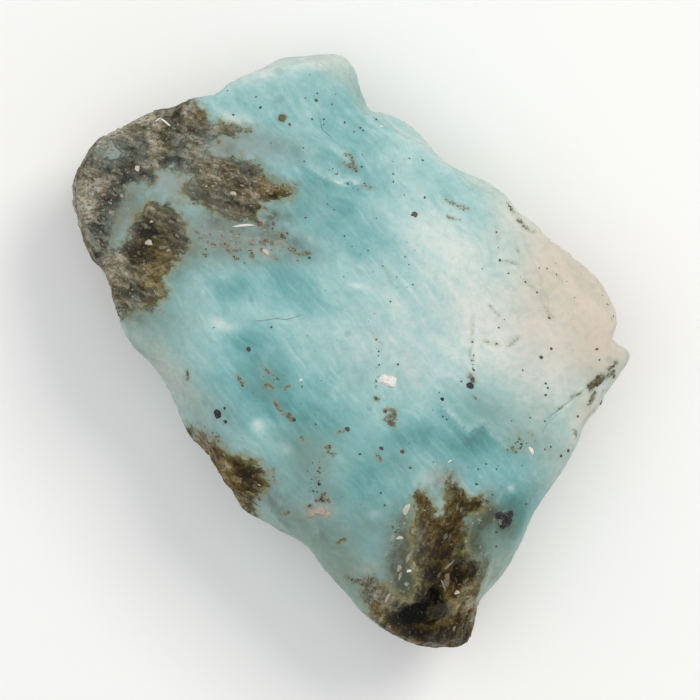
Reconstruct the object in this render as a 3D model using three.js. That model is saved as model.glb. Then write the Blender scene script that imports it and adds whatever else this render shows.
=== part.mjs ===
// A raw larimar: one flat, hand-sized chip of blue pectolite that was broken out of basalt.
// Patches of the brown host rock still cling to its upper left corner, its lower left edge and its tip.
// The stone is a single natural piece, so it is a single closed solid.
// Units are millimetres and +Z is up. The stone lies on the broken face of its underside at z = 0,
// and the origin is below the middle of the box around it.

import * as THREE from 'three';
import { ImprovedNoise } from 'three/addons/math/ImprovedNoise.js';
import { mergeVertices } from 'three/addons/utils/BufferGeometryUtils.js';

// Driving dimensions.
const TOP_HEIGHT = 13.4;          // height of the top face near its middle
const TOP_DOME = 0.0016;          // fall of the top face per square millimetre from its middle
const TOP_INSET = 0.5;            // the top face's edge lies this far inside the eased widest line
const BOTTOM_INSET = 2.6;         // the underside's edge lies this far inside the eased widest line
const LEAST_INSET = 0.25;         // and neither lies nearer than this to the widest line itself
const EASING = 4.0;               // bumps shorter than this fade away above and below the widest line
const BELT = 0.5;                 // share of the side's height where the stone is widest
const BELT_WANDER = 0.22;         // how far that share wanders up and down around the stone
const SIDE_ROUNDING = 3.0;        // exponent of the side's curve: 1 is a straight bevel, 2 a round edge
const FACE_BLEND = 1.5;           // width over which neighbouring breaks run into each other
const MESH_DETAIL = 17;           // rows of triangles on each side of the starting icosahedron
const SIDE_SHARE = 0.36;          // share of the starting sphere's height that becomes the side
const CHIP_COUNT = 26;            // flat chips around the side, upper and lower ones in turn
const CHIP_SPAN = [4.0, 7.0];     // a chip is whole out to the first distance and gone at the second
const CHIP_MOST = 0.9;            // no chip takes more than this off the stone
const UPPER_CHIP = { height: 9.4, depth: 0.4, tilt: 9 };
const LOWER_CHIP = { height: 2.9, depth: 1.9, tilt: -36 };

// The point that every part of the widest line can be seen from.
const HEART = new THREE.Vector2(-0.8, 0.8);

// The widest line of the stone, seen from above, anticlockwise from the nub on its right.
const WIDEST_LINE = [
  [21.5, -0.3], [21.2, 0.3], [20.4, 0.8], [20.6, 2.4], [19.8, 4.3], [18.8, 6.1], [16.0, 8.2],
  [14.3, 9.9], [13.3, 10.5], [12.1, 11.9], [10.8, 13.0], [8.1, 14.0], [6.5, 15.6], [4.7, 17.3],
  [3.1, 18.2], [1.7, 18.5], [0.9, 19.8], [0.5, 21.4], [-0.4, 22.7], [-1.8, 23.0], [-5.0, 22.8],
  [-7.3, 21.6], [-9.6, 20.7], [-10.2, 20.0], [-13.1, 19.3], [-17.3, 17.5], [-20.0, 15.8],
  [-21.3, 13.6], [-21.6, 11.1], [-20.6, 8.8], [-20.3, 7.3], [-18.8, 5.8], [-18.1, 2.7],
  [-17.1, 0.5], [-15.4, -1.2], [-13.4, -4.6], [-12.7, -6.5], [-11.9, -7.1], [-9.8, -10.1],
  [-8.1, -12.5], [-6.1, -13.5], [-3.7, -14.9], [-1.9, -17.0], [0.3, -19.6], [1.7, -21.0],
  [3.2, -22.0], [4.8, -22.8], [6.8, -23.0], [8.7, -23.0], [9.5, -21.6], [9.8, -19.6],
  [11.3, -18.1], [12.9, -15.5], [14.4, -12.2], [16.4, -9.4], [17.9, -6.4], [19.5, -4.2],
  [20.9, -1.8], [21.4, -1.0],
];

// Breaks that slope away from the top face: [heading in degrees, distance of the start from the
// origin, slope]. The heading is the way the break falls.
const TOP_BREAKS = [
  [55, 14.8, 0.25],      // upper right edge
  [95, 17.5, 0.25],      // upper lobe
  [118, 17.8, 0.42],     // host rock cap, upper face
  [170, 15.6, 0.45],     // host rock cap, left face
  [206, 12.4, 0.42],     // left edge
  [228, 10.9, 0.6],      // host rock on the lower left edge
  [217, 9.4, 0.4],       // lower left slope
  [286, 19.2, 0.6],      // tip
  [328, 17.0, 0.45],     // lower right edge
  [317, 15.4, 0.28],     // chipped corner on the right
];

// Breaks that rise from the rest face on the underside, in the same form.
const BOTTOM_BREAKS = [
  [18, 10.5, 0.34],
  [62, 10.0, 0.3],
  [104, 12.5, 0.42],
  [146, 13.5, 0.3],
  [193, 10.5, 0.36],
  [236, 7.0, 0.5],
  [288, 12.5, 0.38],
  [332, 10.5, 0.46],
];

// The pale ledge on the right lies a little lower than the rest of the top face.
const LEDGE = { heading: 10, start: 14.6, width: 1.6, drop: 0.75 };

// Hollows where host rock has weathered out near the tip: [x, y, radius, depth].
const HOLLOWS = [
  [5.2, -20.2, 1.6, 1.5],
  [8.7, -17.1, 1.3, 0.9],
];

// Uneven surface: [length of one wave, height], coarse and fine.
const WAVES = [
  [9.0, 0.5],
  [3.4, 0.22],
];

const noise = new ImprovedNoise();
const widestCurve = new THREE.CatmullRomCurve3(
  WIDEST_LINE.map(([x, y]) => new THREE.Vector3(x, y, 0)),
  true,
  'centripetal',
);
widestCurve.arcLengthDivisions = 1500;

// The larger of two heights, with the corner between them rounded over a width.
function smoothMax(a, b, width) {
  const overlap = Math.max(width - Math.abs(a - b), 0) / width;
  return Math.max(a, b) + overlap * overlap * width / 4;
}

// How far a point lies out along a heading.
function reach(x, y, heading) {
  const angle = THREE.MathUtils.degToRad(heading);
  return x * Math.cos(angle) + y * Math.sin(angle);
}

// The largest departure that a set of breaks makes from the face they start in.
function departure(x, y, breaks) {
  let most = 0;
  for (const [heading, start, slope] of breaks) {
    most = smoothMax(most, (reach(x, y, heading) - start) * slope, FACE_BLEND);
  }
  return most;
}

function unevenness(x, y, z) {
  return WAVES.reduce(
    (sum, [wave, height]) => sum + height * noise.noise(x / wave, y / wave, z / wave),
    0,
  );
}

function topHeight(x, y) {
  const ledge = THREE.MathUtils.smoothstep(
    reach(x, y, LEDGE.heading),
    LEDGE.start,
    LEDGE.start + LEDGE.width,
  );
  let height = TOP_HEIGHT - TOP_DOME * (x * x + y * y) - departure(x, y, TOP_BREAKS);
  height -= LEDGE.drop * ledge;
  for (const [hx, hy, radius, depth] of HOLLOWS) {
    height -= depth * Math.exp(-((x - hx) ** 2 + (y - hy) ** 2) / radius ** 2);
  }
  return height + unevenness(x, y, 40);
}

// The rest face is the flat part at z = 0. The unevenness grows from nothing at its edge.
function bottomHeight(x, y) {
  const rise = departure(x, y, BOTTOM_BREAKS) - FACE_BLEND / 4;
  if (rise <= 0) return 0;
  return rise + unevenness(x, y, -40) * Math.min(rise, 1);
}

// A place on the widest line, by its share of the way around.
function widestPoint(turn) {
  const { x, y } = widestCurve.getPointAt((turn + 1) % 1);
  return new THREE.Vector2(x, y);
}

// How far the widest line lies from the heart once its short bumps are averaged out.
function easedReach(turn) {
  const step = EASING / widestCurve.getLength() / 2;
  const mean = new THREE.Vector2();
  for (const offset of [-2, -1, 0, 1, 2]) mean.add(widestPoint(turn + offset * step));
  return mean.divideScalar(5).distanceTo(HEART);
}

// The planes of the side's chips: each has a middle and a normal that points out of the stone.
const chips = Array.from({ length: CHIP_COUNT }, (_, i) => {
  const { height, depth, tilt } = i % 2 === 0 ? UPPER_CHIP : LOWER_CHIP;
  const turn = (i + 0.4 * Math.sin(i * 5.1)) / CHIP_COUNT;
  const along = widestPoint(turn + 0.01).sub(widestPoint(turn - 0.01));
  const heading = Math.atan2(-along.x, along.y) + 0.3 * Math.sin(i * 2.3);
  const lift = THREE.MathUtils.degToRad(tilt + 9 * Math.sin(i * 3.7));
  const normal = new THREE.Vector3(Math.cos(heading), Math.sin(heading), Math.tan(lift)).normalize();
  const foot = widestPoint(turn);
  const middle = new THREE.Vector3(
    foot.x - depth * Math.cos(heading),
    foot.y - depth * Math.sin(heading),
    height + Math.sin(i * 1.9),
  );
  return { normal, middle };
});

// Presses a point back onto the planes of the chips around it, by a share that is 0 on the widest
// line, which the chips leave as it is.
function strikeChips(point, share) {
  for (const { normal, middle } of chips) {
    const fromMiddle = point.clone().sub(middle);
    const proud = Math.min(fromMiddle.dot(normal), CHIP_MOST);
    const hold = 1 - THREE.MathUtils.smoothstep(fromMiddle.length(), ...CHIP_SPAN);
    if (proud > 0) point.addScaledVector(normal, -proud * hold * share);
  }
  return point;
}

// Carries a point of a unit sphere to its place on the stone. The sphere's cap above the side's
// share becomes the top face, the cap below it the underside, and the band between them the side.
function stonePoint(direction) {
  const turn = Math.atan2(direction.y, direction.x) / (2 * Math.PI);
  const widest = widestPoint(turn);
  const outward = widest.clone().sub(HEART);
  const fullReach = outward.length();
  outward.normalize();
  const place = (distance) => outward.clone().multiplyScalar(distance).add(HEART);
  const eased = easedReach(turn);
  const edgeReach = (inset) => Math.min(eased - inset, fullReach - LEAST_INSET);

  const isUpper = direction.z > 0;
  if (Math.abs(direction.z) > SIDE_SHARE) {
    const spread = Math.sqrt((1 - Math.abs(direction.z)) / (1 - SIDE_SHARE));
    const { x, y } = place(edgeReach(isUpper ? TOP_INSET : BOTTOM_INSET) * spread);
    return strikeChips(new THREE.Vector3(x, y, isUpper ? topHeight(x, y) : bottomHeight(x, y)), 1);
  }

  const upperEdge = place(edgeReach(TOP_INSET));
  const lowerEdge = place(edgeReach(BOTTOM_INSET));
  const rise = (direction.z / SIDE_SHARE + 1) / 2;
  const belt = BELT + BELT_WANDER * noise.noise(widest.x / 8, widest.y / 8, 7);
  const isAbove = rise > belt;
  const fromBelt = isAbove ? (rise - belt) / (1 - belt) : (belt - rise) / belt;
  const sideReach = edgeReach(isAbove ? TOP_INSET : BOTTOM_INSET);
  const height = THREE.MathUtils.lerp(
    bottomHeight(lowerEdge.x, lowerEdge.y),
    topHeight(upperEdge.x, upperEdge.y),
    rise,
  );
  const { x, y } = place(THREE.MathUtils.lerp(fullReach, sideReach, fromBelt ** SIDE_ROUNDING));
  const share = THREE.MathUtils.smoothstep(fromBelt, 0.1, 0.6);
  return strikeChips(new THREE.Vector3(x, y, height), share);
}

function stoneGeometry() {
  const sphere = new THREE.IcosahedronGeometry(1, MESH_DETAIL);
  sphere.deleteAttribute('normal');
  sphere.deleteAttribute('uv');
  const geometry = mergeVertices(sphere, 1e-5);
  const positions = geometry.getAttribute('position');
  const direction = new THREE.Vector3();
  for (let i = 0; i < positions.count; i += 1) {
    direction.fromBufferAttribute(positions, i).normalize();
    const point = stonePoint(direction);
    positions.setXYZ(i, point.x, point.y, point.z);
  }
  geometry.computeVertexNormals();
  geometry.computeBoundingBox();
  const middle = geometry.boundingBox.getCenter(new THREE.Vector3());
  return geometry.translate(-middle.x, -middle.y, 0);
}

const larimar = new THREE.MeshStandardMaterial({ color: '#8fc3c4', roughness: 0.55, metalness: 0 });
const stone = new THREE.Mesh(stoneGeometry(), larimar);
stone.name = 'larimar_stone';

const group = new THREE.Group();
group.add(stone);

export default group;
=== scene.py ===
import math
import random

import bpy
import numpy as np
from mathutils import Matrix, Vector, noise
from mathutils.bvhtree import BVHTree


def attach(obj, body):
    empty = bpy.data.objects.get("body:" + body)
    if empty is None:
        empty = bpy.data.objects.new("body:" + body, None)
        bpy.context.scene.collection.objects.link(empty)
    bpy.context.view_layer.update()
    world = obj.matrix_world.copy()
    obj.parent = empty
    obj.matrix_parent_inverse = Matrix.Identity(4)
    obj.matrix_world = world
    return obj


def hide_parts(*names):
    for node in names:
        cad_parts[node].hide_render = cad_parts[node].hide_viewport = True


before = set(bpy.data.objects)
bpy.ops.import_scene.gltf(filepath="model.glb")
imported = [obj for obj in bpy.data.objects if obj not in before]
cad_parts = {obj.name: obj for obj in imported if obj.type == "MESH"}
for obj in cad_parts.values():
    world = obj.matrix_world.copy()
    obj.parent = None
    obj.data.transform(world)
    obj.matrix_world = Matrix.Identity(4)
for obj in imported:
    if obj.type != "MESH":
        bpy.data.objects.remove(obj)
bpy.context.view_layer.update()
scene = bpy.context.scene


# ---------------------------------------------------------------------------
# Camera. It stands over the stone as on a copy stand, far enough away that the
# stone's edges hardly spread, and looks straight down with the stone's long
# side running from upper left to lower right.
# ---------------------------------------------------------------------------
MM = 0.001
LENS = 300.0                      # focal length, in millimetres of a 36 mm wide sensor
VIEW_WIDTH = 54.25 * MM           # width of the view at the stone's widest line
WIDEST_HEIGHT = 6.2 * MM          # height of that line above the floor

camera_data = bpy.data.cameras.new("copy_stand_camera")
camera_data.sensor_width = 36.0
camera_data.lens = LENS
camera = bpy.data.objects.new("copy_stand_camera", camera_data)
camera.location = (0, 0, WIDEST_HEIGHT + VIEW_WIDTH * LENS / camera_data.sensor_width)
scene.collection.objects.link(camera)
scene.camera = camera


# ---------------------------------------------------------------------------
# The stone. Larimar is a blue pectolite that fills cavities in basalt. This
# chunk was broken out with a hammer: a flat waxy top, splintery sides, and
# brown host rock, rough and pitted, on its corner, edge and tip.
# ---------------------------------------------------------------------------
VOXEL = 0.31 * MM                 # size of the remeshed stone's faces, halved on the top
TOP_SLOPE = 0.5                   # faces whose normal rises more than this count as the top
FIBRE_HEADING = math.radians(-50) # the way the blue stone's fibres run
SPLINTER_HEADING = math.radians(-22)
TIP_HEADING = math.radians(68)    # the way the host rock's flakes lie at the stone's tip
NOISE_SEED = 1795342992           # fixes the facets, whose noise would start from the clock without it

noise.seed_set(NOISE_SEED)

# Host rock on the upper left corner, on the left edge and at the tip: outlines seen from above, in
# millimetres from the middle.
CORNER_CAP = [
    (-12.3, 20.6), (-16.0, 20.5), (-23.5, 17.0), (-24.0, 8.0), (-20.5, 2.0), (-17.6, 2.6), (-16.8, 2.9),
    (-15.9, 3.3), (-15.2, 3.1), (-14.7, 3.4), (-14.4, 4.2), (-14.3, 5.1), (-13.6, 6.2), (-12.6, 7.4),
    (-12.1, 8.2), (-12.4, 9.3), (-13.2, 10.6), (-13.8, 11.2), (-14.4, 10.9), (-14.9, 11.6), (-16.0, 10.6),
    (-16.6, 9.6), (-17.0, 8.3), (-18.0, 7.7), (-18.4, 8.3), (-17.9, 10.3), (-17.3, 11.6), (-16.6, 12.3),
    (-15.3, 12.8), (-14.8, 13.9), (-13.6, 14.0), (-12.2, 13.3), (-12.9, 12.3), (-12.0, 11.6),
    (-10.7, 10.6), (-9.2, 10.0), (-7.1, 9.9), (-6.8, 11.4), (-5.6, 11.4), (-4.3, 11.8), (-4.3, 12.4),
    (-5.8, 12.7), (-6.7, 13.8), (-8.2, 14.7), (-9.6, 14.8), (-9.2, 15.6), (-9.6, 16.2), (-8.8, 16.5),
    (-7.6, 16.8), (-9.4, 17.1), (-10.8, 17.4), (-11.6, 18.6),
]
LEFT_EDGE = [
    (-14.0, -6.5), (-12.3, -6.1), (-11.3, -6.7), (-10.5, -7.0), (-9.9, -7.6), (-8.5, -8.3), (-7.3, -8.5),
    (-6.7, -9.2), (-6.4, -10.3), (-6.9, -11.1), (-7.3, -11.9), (-7.4, -13.5), (-10.5, -14.0),
]
TIP = [
    (0.9, -17.9), (1.7, -17.4), (2.8, -18.2), (3.5, -19.0), (4.6, -19.6), (5.2, -18.6), (5.2, -17.0),
    (4.9, -15.8), (5.0, -14.6), (4.7, -13.6), (5.1, -12.4), (5.0, -11.2), (5.4, -10.8), (6.2, -11.7),
    (6.6, -12.7), (7.3, -12.2), (7.4, -11.0), (7.2, -10.1), (7.6, -9.6), (8.2, -10.4), (9.2, -11.3),
    (10.3, -11.2), (10.6, -11.7), (9.8, -12.3), (8.8, -12.5), (8.8, -14.2), (8.4, -15.5), (9.6, -16.0),
    (10.4, -17.1), (9.9, -18.2), (10.0, -19.3), (12.0, -20.0), (11.5, -25.0), (3.0, -25.0), (1.9, -20.9),
    (1.2, -19.3),
]
HOST_ROCK = [(CORNER_CAP, -1.0), (LEFT_EDGE, 3.0), (TIP, -1.0)]     # and how low each one reaches

# Windows of larimar in the host rock, as soft ovals: x, y, half length, half width, turn in degrees and
# amount. The one in the big hollow at the tip paints the bluish highlight on its floor.
WINDOWS = [
    (-18.7, 15.3, 1.7, 1.1, 15, 4.0), (-10.5, 15.5, 1.0, 0.7, -10, 1.6), (7.0, -20.1, 0.8, 0.5, 20, 2.4),
    (-13.6, 15.0, 0.5, 0.9, 40, 0.5), (-17.0, 12.6, 0.7, 0.5, 0, 0.9),
]

# Hollows where host rock fell out: outline, depth, and width of their walls.
HOLLOWS = [
    ([(3.7, -20.4), (4.5, -19.7), (5.5, -19.4), (6.0, -18.9), (6.3, -18.1), (6.9, -18.4),
      (7.2, -19.4), (7.3, -20.2), (6.7, -20.8), (5.4, -21.1), (4.2, -21.1)], 1.5, 0.6),
    ([(7.8, -16.5), (8.6, -16.1), (9.6, -16.6), (9.3, -17.7), (8.2, -18.1), (7.7, -17.3)], 0.8, 0.7),
    ([(4.8, -21.4), (5.5, -21.3), (5.4, -22.4), (4.8, -22.3)], 0.5, 0.5),
]

# Fracture ledges on the top: a line, and how far and how widely the face on its right drops. The lowest
# ones are the edges of thin pale sheets.
LEDGES = [
    ([(7.5, -4.7), (8.3, -5.6), (9.1, -6.35), (9.7, -5.9)], 0.10, 1.0),
    ([(10.3, -6.0), (11.0, -6.6), (11.9, -7.4)], 0.08, 1.0),
    ([(-2.9, 13.7), (-1.9, 13.2), (-1.1, 12.9), (0.4, 12.6)], 0.10, 1.2),
    ([(18.2, -2.8), (17.2, -3.6), (16.0, -4.6), (15.2, -5.6)], 0.25, 2.2),
    ([(-15.2, 17.3), (-15.5, 15.6), (-15.2, 13.9)], 0.35, 1.8),
    ([(13.2, 9.6), (13.6, 7.6), (14.6, 5.4), (15.2, 3.4)], 0.12, 2.4),
]
THIN_SHEET = 0.1

# Where the rim was nicked, or stands out a little more: x, y, reach, and how far outwards.
RIM_SHAPE = [
    (20.8, 0.95, 1.0, -0.6), (21.3, -0.4, 1.2, 0.3), (19.9, -3.6, 1.6, -0.25), (18.5, -5.7, 1.8, -0.3),
    (18.4, 6.6, 2.2, -0.22), (15.3, 9.0, 2.2, -0.3), (13.3, 10.8, 2.0, -0.35), (7.0, 15.2, 2.6, -0.22),
    (1.5, 18.7, 1.0, -0.4), (-3.3, 23.2, 2.6, -0.3), (-10.3, 20.3, 2.4, -0.3), (-13.6, 19.2, 2.4, -0.2),
    (-20.6, 8.4, 2.2, 0.25), (-8.1, -12.2, 2.2, 0.2), (-5.2, -13.8, 2.6, 0.3), (-1.5, -17.2, 2.6, 0.25),
]

# Flat chips that the hammer struck off: how many, least and most reach, and least and most depth.
CHIPS = [(90, 3.4, 6.0, 0.25, 0.85), (220, 1.2, 2.4, 0.06, 0.28)]
BELT_SHARE = 0.35                 # share of a chip's depth that is left on the widest line
RIM_REACH = 1.6                   # width of the rim, in millimetres in from the widest line
RIM_SPREAD = 0.75                 # share of the way to that line that the rim is spread outwards


def apply_modifier(piece, kind, **settings):
    """Adds a modifier to a piece and applies it."""
    modifier = piece.modifiers.new(kind.lower(), kind)
    for name, value in settings.items():
        setattr(modifier, name, value)
    bpy.context.view_layer.objects.active = piece
    bpy.ops.object.modifier_apply(modifier=modifier.name)


def read_points(mesh):
    """A mesh's points in millimetres."""
    flat = np.empty(len(mesh.vertices) * 3)
    mesh.vertices.foreach_get("co", flat)
    return flat.reshape(-1, 3) / MM


def read_normals(mesh):
    """The way each of a mesh's points faces."""
    flat = np.empty(len(mesh.vertices) * 3)
    mesh.vertices.foreach_get("normal", flat)
    return flat.reshape(-1, 3)


def inside_widest(points):
    """How far each point lies inside the stone's widest line, and how far from the middle, in plan."""
    wedges = 720
    reach = np.hypot(points[:, 0], points[:, 1])
    turn = np.arctan2(points[:, 1], points[:, 0]) / (2 * math.pi) + 0.5
    wedge = (turn * wedges).astype(int) % wedges
    widest = np.zeros(wedges)
    np.maximum.at(widest, wedge, reach)
    return widest[wedge] - reach, reach


def lumps(points, size, octaves=3):
    """Smooth noise from about -1 to 1, with lumps of a size in millimetres."""
    return np.array([noise.fractal(Vector(p), 1.0, 2.0, octaves) for p in points / size])


def evened(mesh, values, rounds):
    """Values at a mesh's points, averaged with their neighbours' a number of times."""
    ends = np.empty(len(mesh.edges) * 2, int)
    mesh.edges.foreach_get("vertices", ends)
    here, there = np.concatenate([ends.reshape(-1, 2), ends.reshape(-1, 2)[:, ::-1]]).T
    neighbours = np.bincount(here)
    for _ in range(rounds):
        values = np.bincount(here, values[there]) / neighbours
    return values


def facets(points, size):
    """Flat facets of a size in millimetres, each tilted its own way, from about -1 to 1."""
    heights = np.empty(len(points))
    for i, point in enumerate(points / size):
        here = Vector(point)
        middle = noise.voronoi(here)[1][0]
        heights[i] = 2.0 * (here - middle).dot(noise.noise_vector(middle * 3.7))
        heights[i] += 0.6 * noise.noise(middle * 5.1)
    return heights


def stretched(points, heading, share):
    """Points turned so that a heading in plan is their first axis, which is then shortened."""
    cosine, sine = math.cos(heading), math.sin(heading)
    return points @ np.array([[cosine * share, -sine, 0], [sine * share, cosine, 0], [0, 0, 1]])


def smoothstep(values, low, high):
    """0 below one value and 1 above another, with a soft rise between them."""
    share = np.clip((values - low) / (high - low), 0, 1)
    return share * share * (3 - 2 * share)


def to_line(xy, start, end):
    """Distance to a stretch of line, and the side of it: 1 on its left and -1 on its right."""
    start, end = np.array(start), np.array(end)
    along, offset = end - start, xy - start
    share = np.clip(offset @ along / (along @ along), 0, 1)
    gap = offset - share[:, None] * along
    side = along[0] * offset[:, 1] - along[1] * offset[:, 0]
    return np.hypot(gap[:, 0], gap[:, 1]), np.where(side < 0, -1.0, 1.0)


def to_path(xy, path):
    """Distance to a path of several points, and the side of it."""
    nearest, side = np.full(len(xy), 1e9), np.ones(len(xy))
    for start, end in zip(path, path[1:]):
        distance, this_side = to_line(xy, start, end)
        side = np.where(distance < nearest, this_side, side)
        nearest = np.minimum(distance, nearest)
    return nearest, side


def depth_inside(xy, outline):
    """Depth inside a closed outline, in millimetres: negative outside it."""
    closed = outline + outline[:1]
    within = np.zeros(len(xy), bool)
    for (x0, y0), (x1, y1) in zip(closed, closed[1:]):
        straddles = (y0 > xy[:, 1]) != (y1 > xy[:, 1])
        crossing = x0 + (x1 - x0) * (xy[:, 1] - y0) / (y1 - y0 if y1 != y0 else 1e-9)
        within ^= straddles & (xy[:, 0] < crossing)
    distance = to_path(xy, closed)[0]
    return np.where(within, distance, -distance)


def spots(places):
    """Sum, at every point of the stone, of soft ovals that fade out from their middles."""
    total = np.zeros(len(xy))
    for x, y, length, width, turn_degrees, amount in places:
        angle = math.radians(turn_degrees)
        along = (xy - [x, y]) @ [math.cos(angle), math.sin(angle)] / length
        across = (xy - [x, y]) @ [-math.sin(angle), math.cos(angle)] / width
        total += amount * np.exp(-(along ** 2 + across ** 2))
    return total


# The CAD solid, welded and cut into a fine even mesh.
bpy.ops.object.select_all(action="DESELECT")
stone = bpy.data.objects.new("raw_larimar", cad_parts["larimar_stone"].data.copy())
scene.collection.objects.link(stone)
bpy.context.view_layer.objects.active = stone
stone.select_set(True)
bpy.ops.object.mode_set(mode="EDIT")
bpy.ops.mesh.select_all(action="SELECT")
bpy.ops.mesh.remove_doubles(threshold=0.001 * MM)
bpy.ops.object.mode_set(mode="OBJECT")
apply_modifier(stone, "REMESH", mode="VOXEL", voxel_size=VOXEL)
apply_modifier(stone, "SMOOTH", factor=0.5, iterations=4)

# The top is spread almost to the widest line, then its heights are evened so that it rolls into the side.
points = read_points(stone.data)
out = read_normals(stone.data)
gap, reach = inside_widest(points)
push = RIM_SPREAD * gap * (1 - smoothstep(gap, 0, RIM_REACH)) * smoothstep(out[:, 2], -0.05, 0.2)
points[:, :2] *= (1 + push / reach)[:, None]
stone.data.vertices.foreach_set("co", (points * MM).ravel())
stone.data.update()
shoulders = stone.vertex_groups.new(name="shoulders")
for index, weight in enumerate(smoothstep(out[:, 2], 0.0, 0.45)):
    shoulders.add([index], weight, "REPLACE")
apply_modifier(stone, "SMOOTH", factor=0.5, iterations=90, vertex_group="shoulders", use_x=False, use_y=False)

# The top's faces are halved, because its marks are the finest.
for polygon in stone.data.polygons:
    polygon.select = polygon.normal.z > TOP_SLOPE
bpy.ops.object.mode_set(mode="EDIT")
bpy.ops.mesh.select_mode(type="FACE")
bpy.ops.mesh.subdivide(number_cuts=1, smoothness=1.0)
bpy.ops.mesh.select_all(action="DESELECT")
bpy.ops.object.mode_set(mode="OBJECT")

points = read_points(stone.data)
out = read_normals(stone.data)
xy, height = points[:, :2].copy(), points[:, 2].copy()
top = smoothstep(out[:, 2], 0.45, 0.8)

# The chips are cut one by one, from the side and the underside. They leave the widest line nearly whole,
# and fade out below it over a few faces, so that no slit opens under the rim.
margin = smoothstep(inside_widest(points)[0], 0.1, 0.9)
rng = np.random.default_rng(7)
struck = points.copy()
breakable = np.flatnonzero(top < 0.3)
for count, least_reach, most_reach, least_depth, most_depth in CHIPS:
    for _ in range(count):
        chosen = rng.choice(breakable)
        heading = out[chosen] * [1, 1, 0.6] + rng.normal(0, 0.22, 3)
        heading /= np.linalg.norm(heading)
        chip_reach, chip_depth = rng.uniform(least_reach, most_reach), rng.uniform(least_depth, most_depth)
        away = struck - struck[chosen]
        proud = np.clip(away @ heading + chip_depth, 0, 1.4 * chip_depth)
        hold = 1 - smoothstep(np.linalg.norm(away, axis=1), 0.7 * chip_reach, chip_reach)
        struck -= heading * (proud * hold)[:, None]
below_rim = evened(stone.data, 1 - smoothstep(out[:, 2], 0.0, 0.3), 40)
struck_share = (BELT_SHARE + (1 - BELT_SHARE) * margin) * smoothstep(below_rim, 0.45, 1.0)
points += (struck - points) * struck_share[:, None]

# Host rock, as a depth in millimetres that is negative in the larimar. On the side its edges wander off
# the outlines, and more of it is hidden in lumps low down.
wander = 2.0 * np.stack([lumps(points + shift, 3.0, 3) for shift in (40, 50, 60)], axis=1)
wander *= 1 - smoothstep(out[:, 2], 0.0, 0.45)[:, None]
host = np.full(len(points), -9.0)
for outline, lowest in HOST_ROCK:
    inside = depth_inside(xy + wander[:, :2], outline)
    host = np.maximum(host, np.minimum(inside, height + wander[:, 2] - lowest))
hidden_host = 5.0 * (lumps(points + 31, 8.0, 2) - 0.32) + 2.0 * np.minimum(0, 6.5 - height)
host = np.maximum(host, hidden_host) + 0.2 * lumps(points, 1.3, 3)
host -= spots(WINDOWS) * top * (1 + 0.6 * lumps(points + 2, 1.2, 2))
rockiness = smoothstep(host, -0.1, 0.6)

# Relief, as heights and sizes in millimetres. Larimar breaks into splinters along its fibres; host rock
# is lumpy and pitted. Shifted points keep one pattern from following another.
along_splinters = stretched(points, FIBRE_HEADING, 0.3)
along_shards = stretched(points, SPLINTER_HEADING, 0.4)
waxy = 0.09 * lumps(points, 4.5, 3) + 0.015 * lumps(along_splinters, 0.6, 2)
splintery = 0.09 * facets(along_splinters, 1.7) + 0.03 * facets(along_splinters + 5, 0.8)
pitted = 0.13 * lumps(points + 7, 2.2, 3) + 0.2 * lumps(along_shards, 0.9, 4)
pitted += 0.18 * facets(along_shards, 0.8)
rise = waxy + (1 - top) * margin * splintery
rise += rockiness * (0.4 + 0.6 * margin) * pitted
points += out * rise[:, None]

# Ledges, whose lines are torn a little to and fro. A thin sheet is white on its edge, paler above it and
# bluer below.
sheet_edge = np.zeros(len(points))
torn = xy + 0.22 * np.stack([lumps(points, 0.9, 3), lumps(points + 9, 0.9, 3)], axis=1)
for path, drop, width in LEDGES:
    distance, side = to_path(torn, path)
    if drop <= THIN_SHEET:
        sheet_edge -= 0.13 * (1 - smoothstep(distance, 0, 1.2)) * side
        sheet_edge -= 0.10 * (1 - smoothstep(distance, 0.1, 0.4))
    fall = smoothstep(-side * distance, -0.12, 0.12) * (1 - smoothstep(distance, 0.3 * width, width))
    points[:, 2] -= top * drop * fall

# Hollows, and the last touches to the rim. Nothing goes below the floor.
hollow = np.zeros(len(points))
for outline, depth, wall in HOLLOWS:
    fall = smoothstep(depth_inside(xy, outline) + 0.15 * lumps(points, 0.9, 3), -0.5 * wall, 0.5 * wall)
    fall *= smoothstep(out[:, 2], 0.2, 0.5)
    points[:, 2] -= depth * fall
    hollow = np.maximum(hollow, fall * depth)
points[:, 2] = np.maximum(points[:, 2], 0)
for x, y, reach, outwards in RIM_SHAPE:
    hold = np.clip(1 - np.hypot(xy[:, 0] - x, xy[:, 1] - y) / reach, 0, 1)
    points[:, :2] += np.array([x, y]) / math.hypot(x, y) * outwards * hold[:, None]

stone.data.vertices.foreach_set("co", (points * MM).ravel())
stone.data.update()
bpy.ops.object.shade_smooth()
surface = BVHTree.FromObject(stone, bpy.context.evaluated_depsgraph_get())
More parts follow.
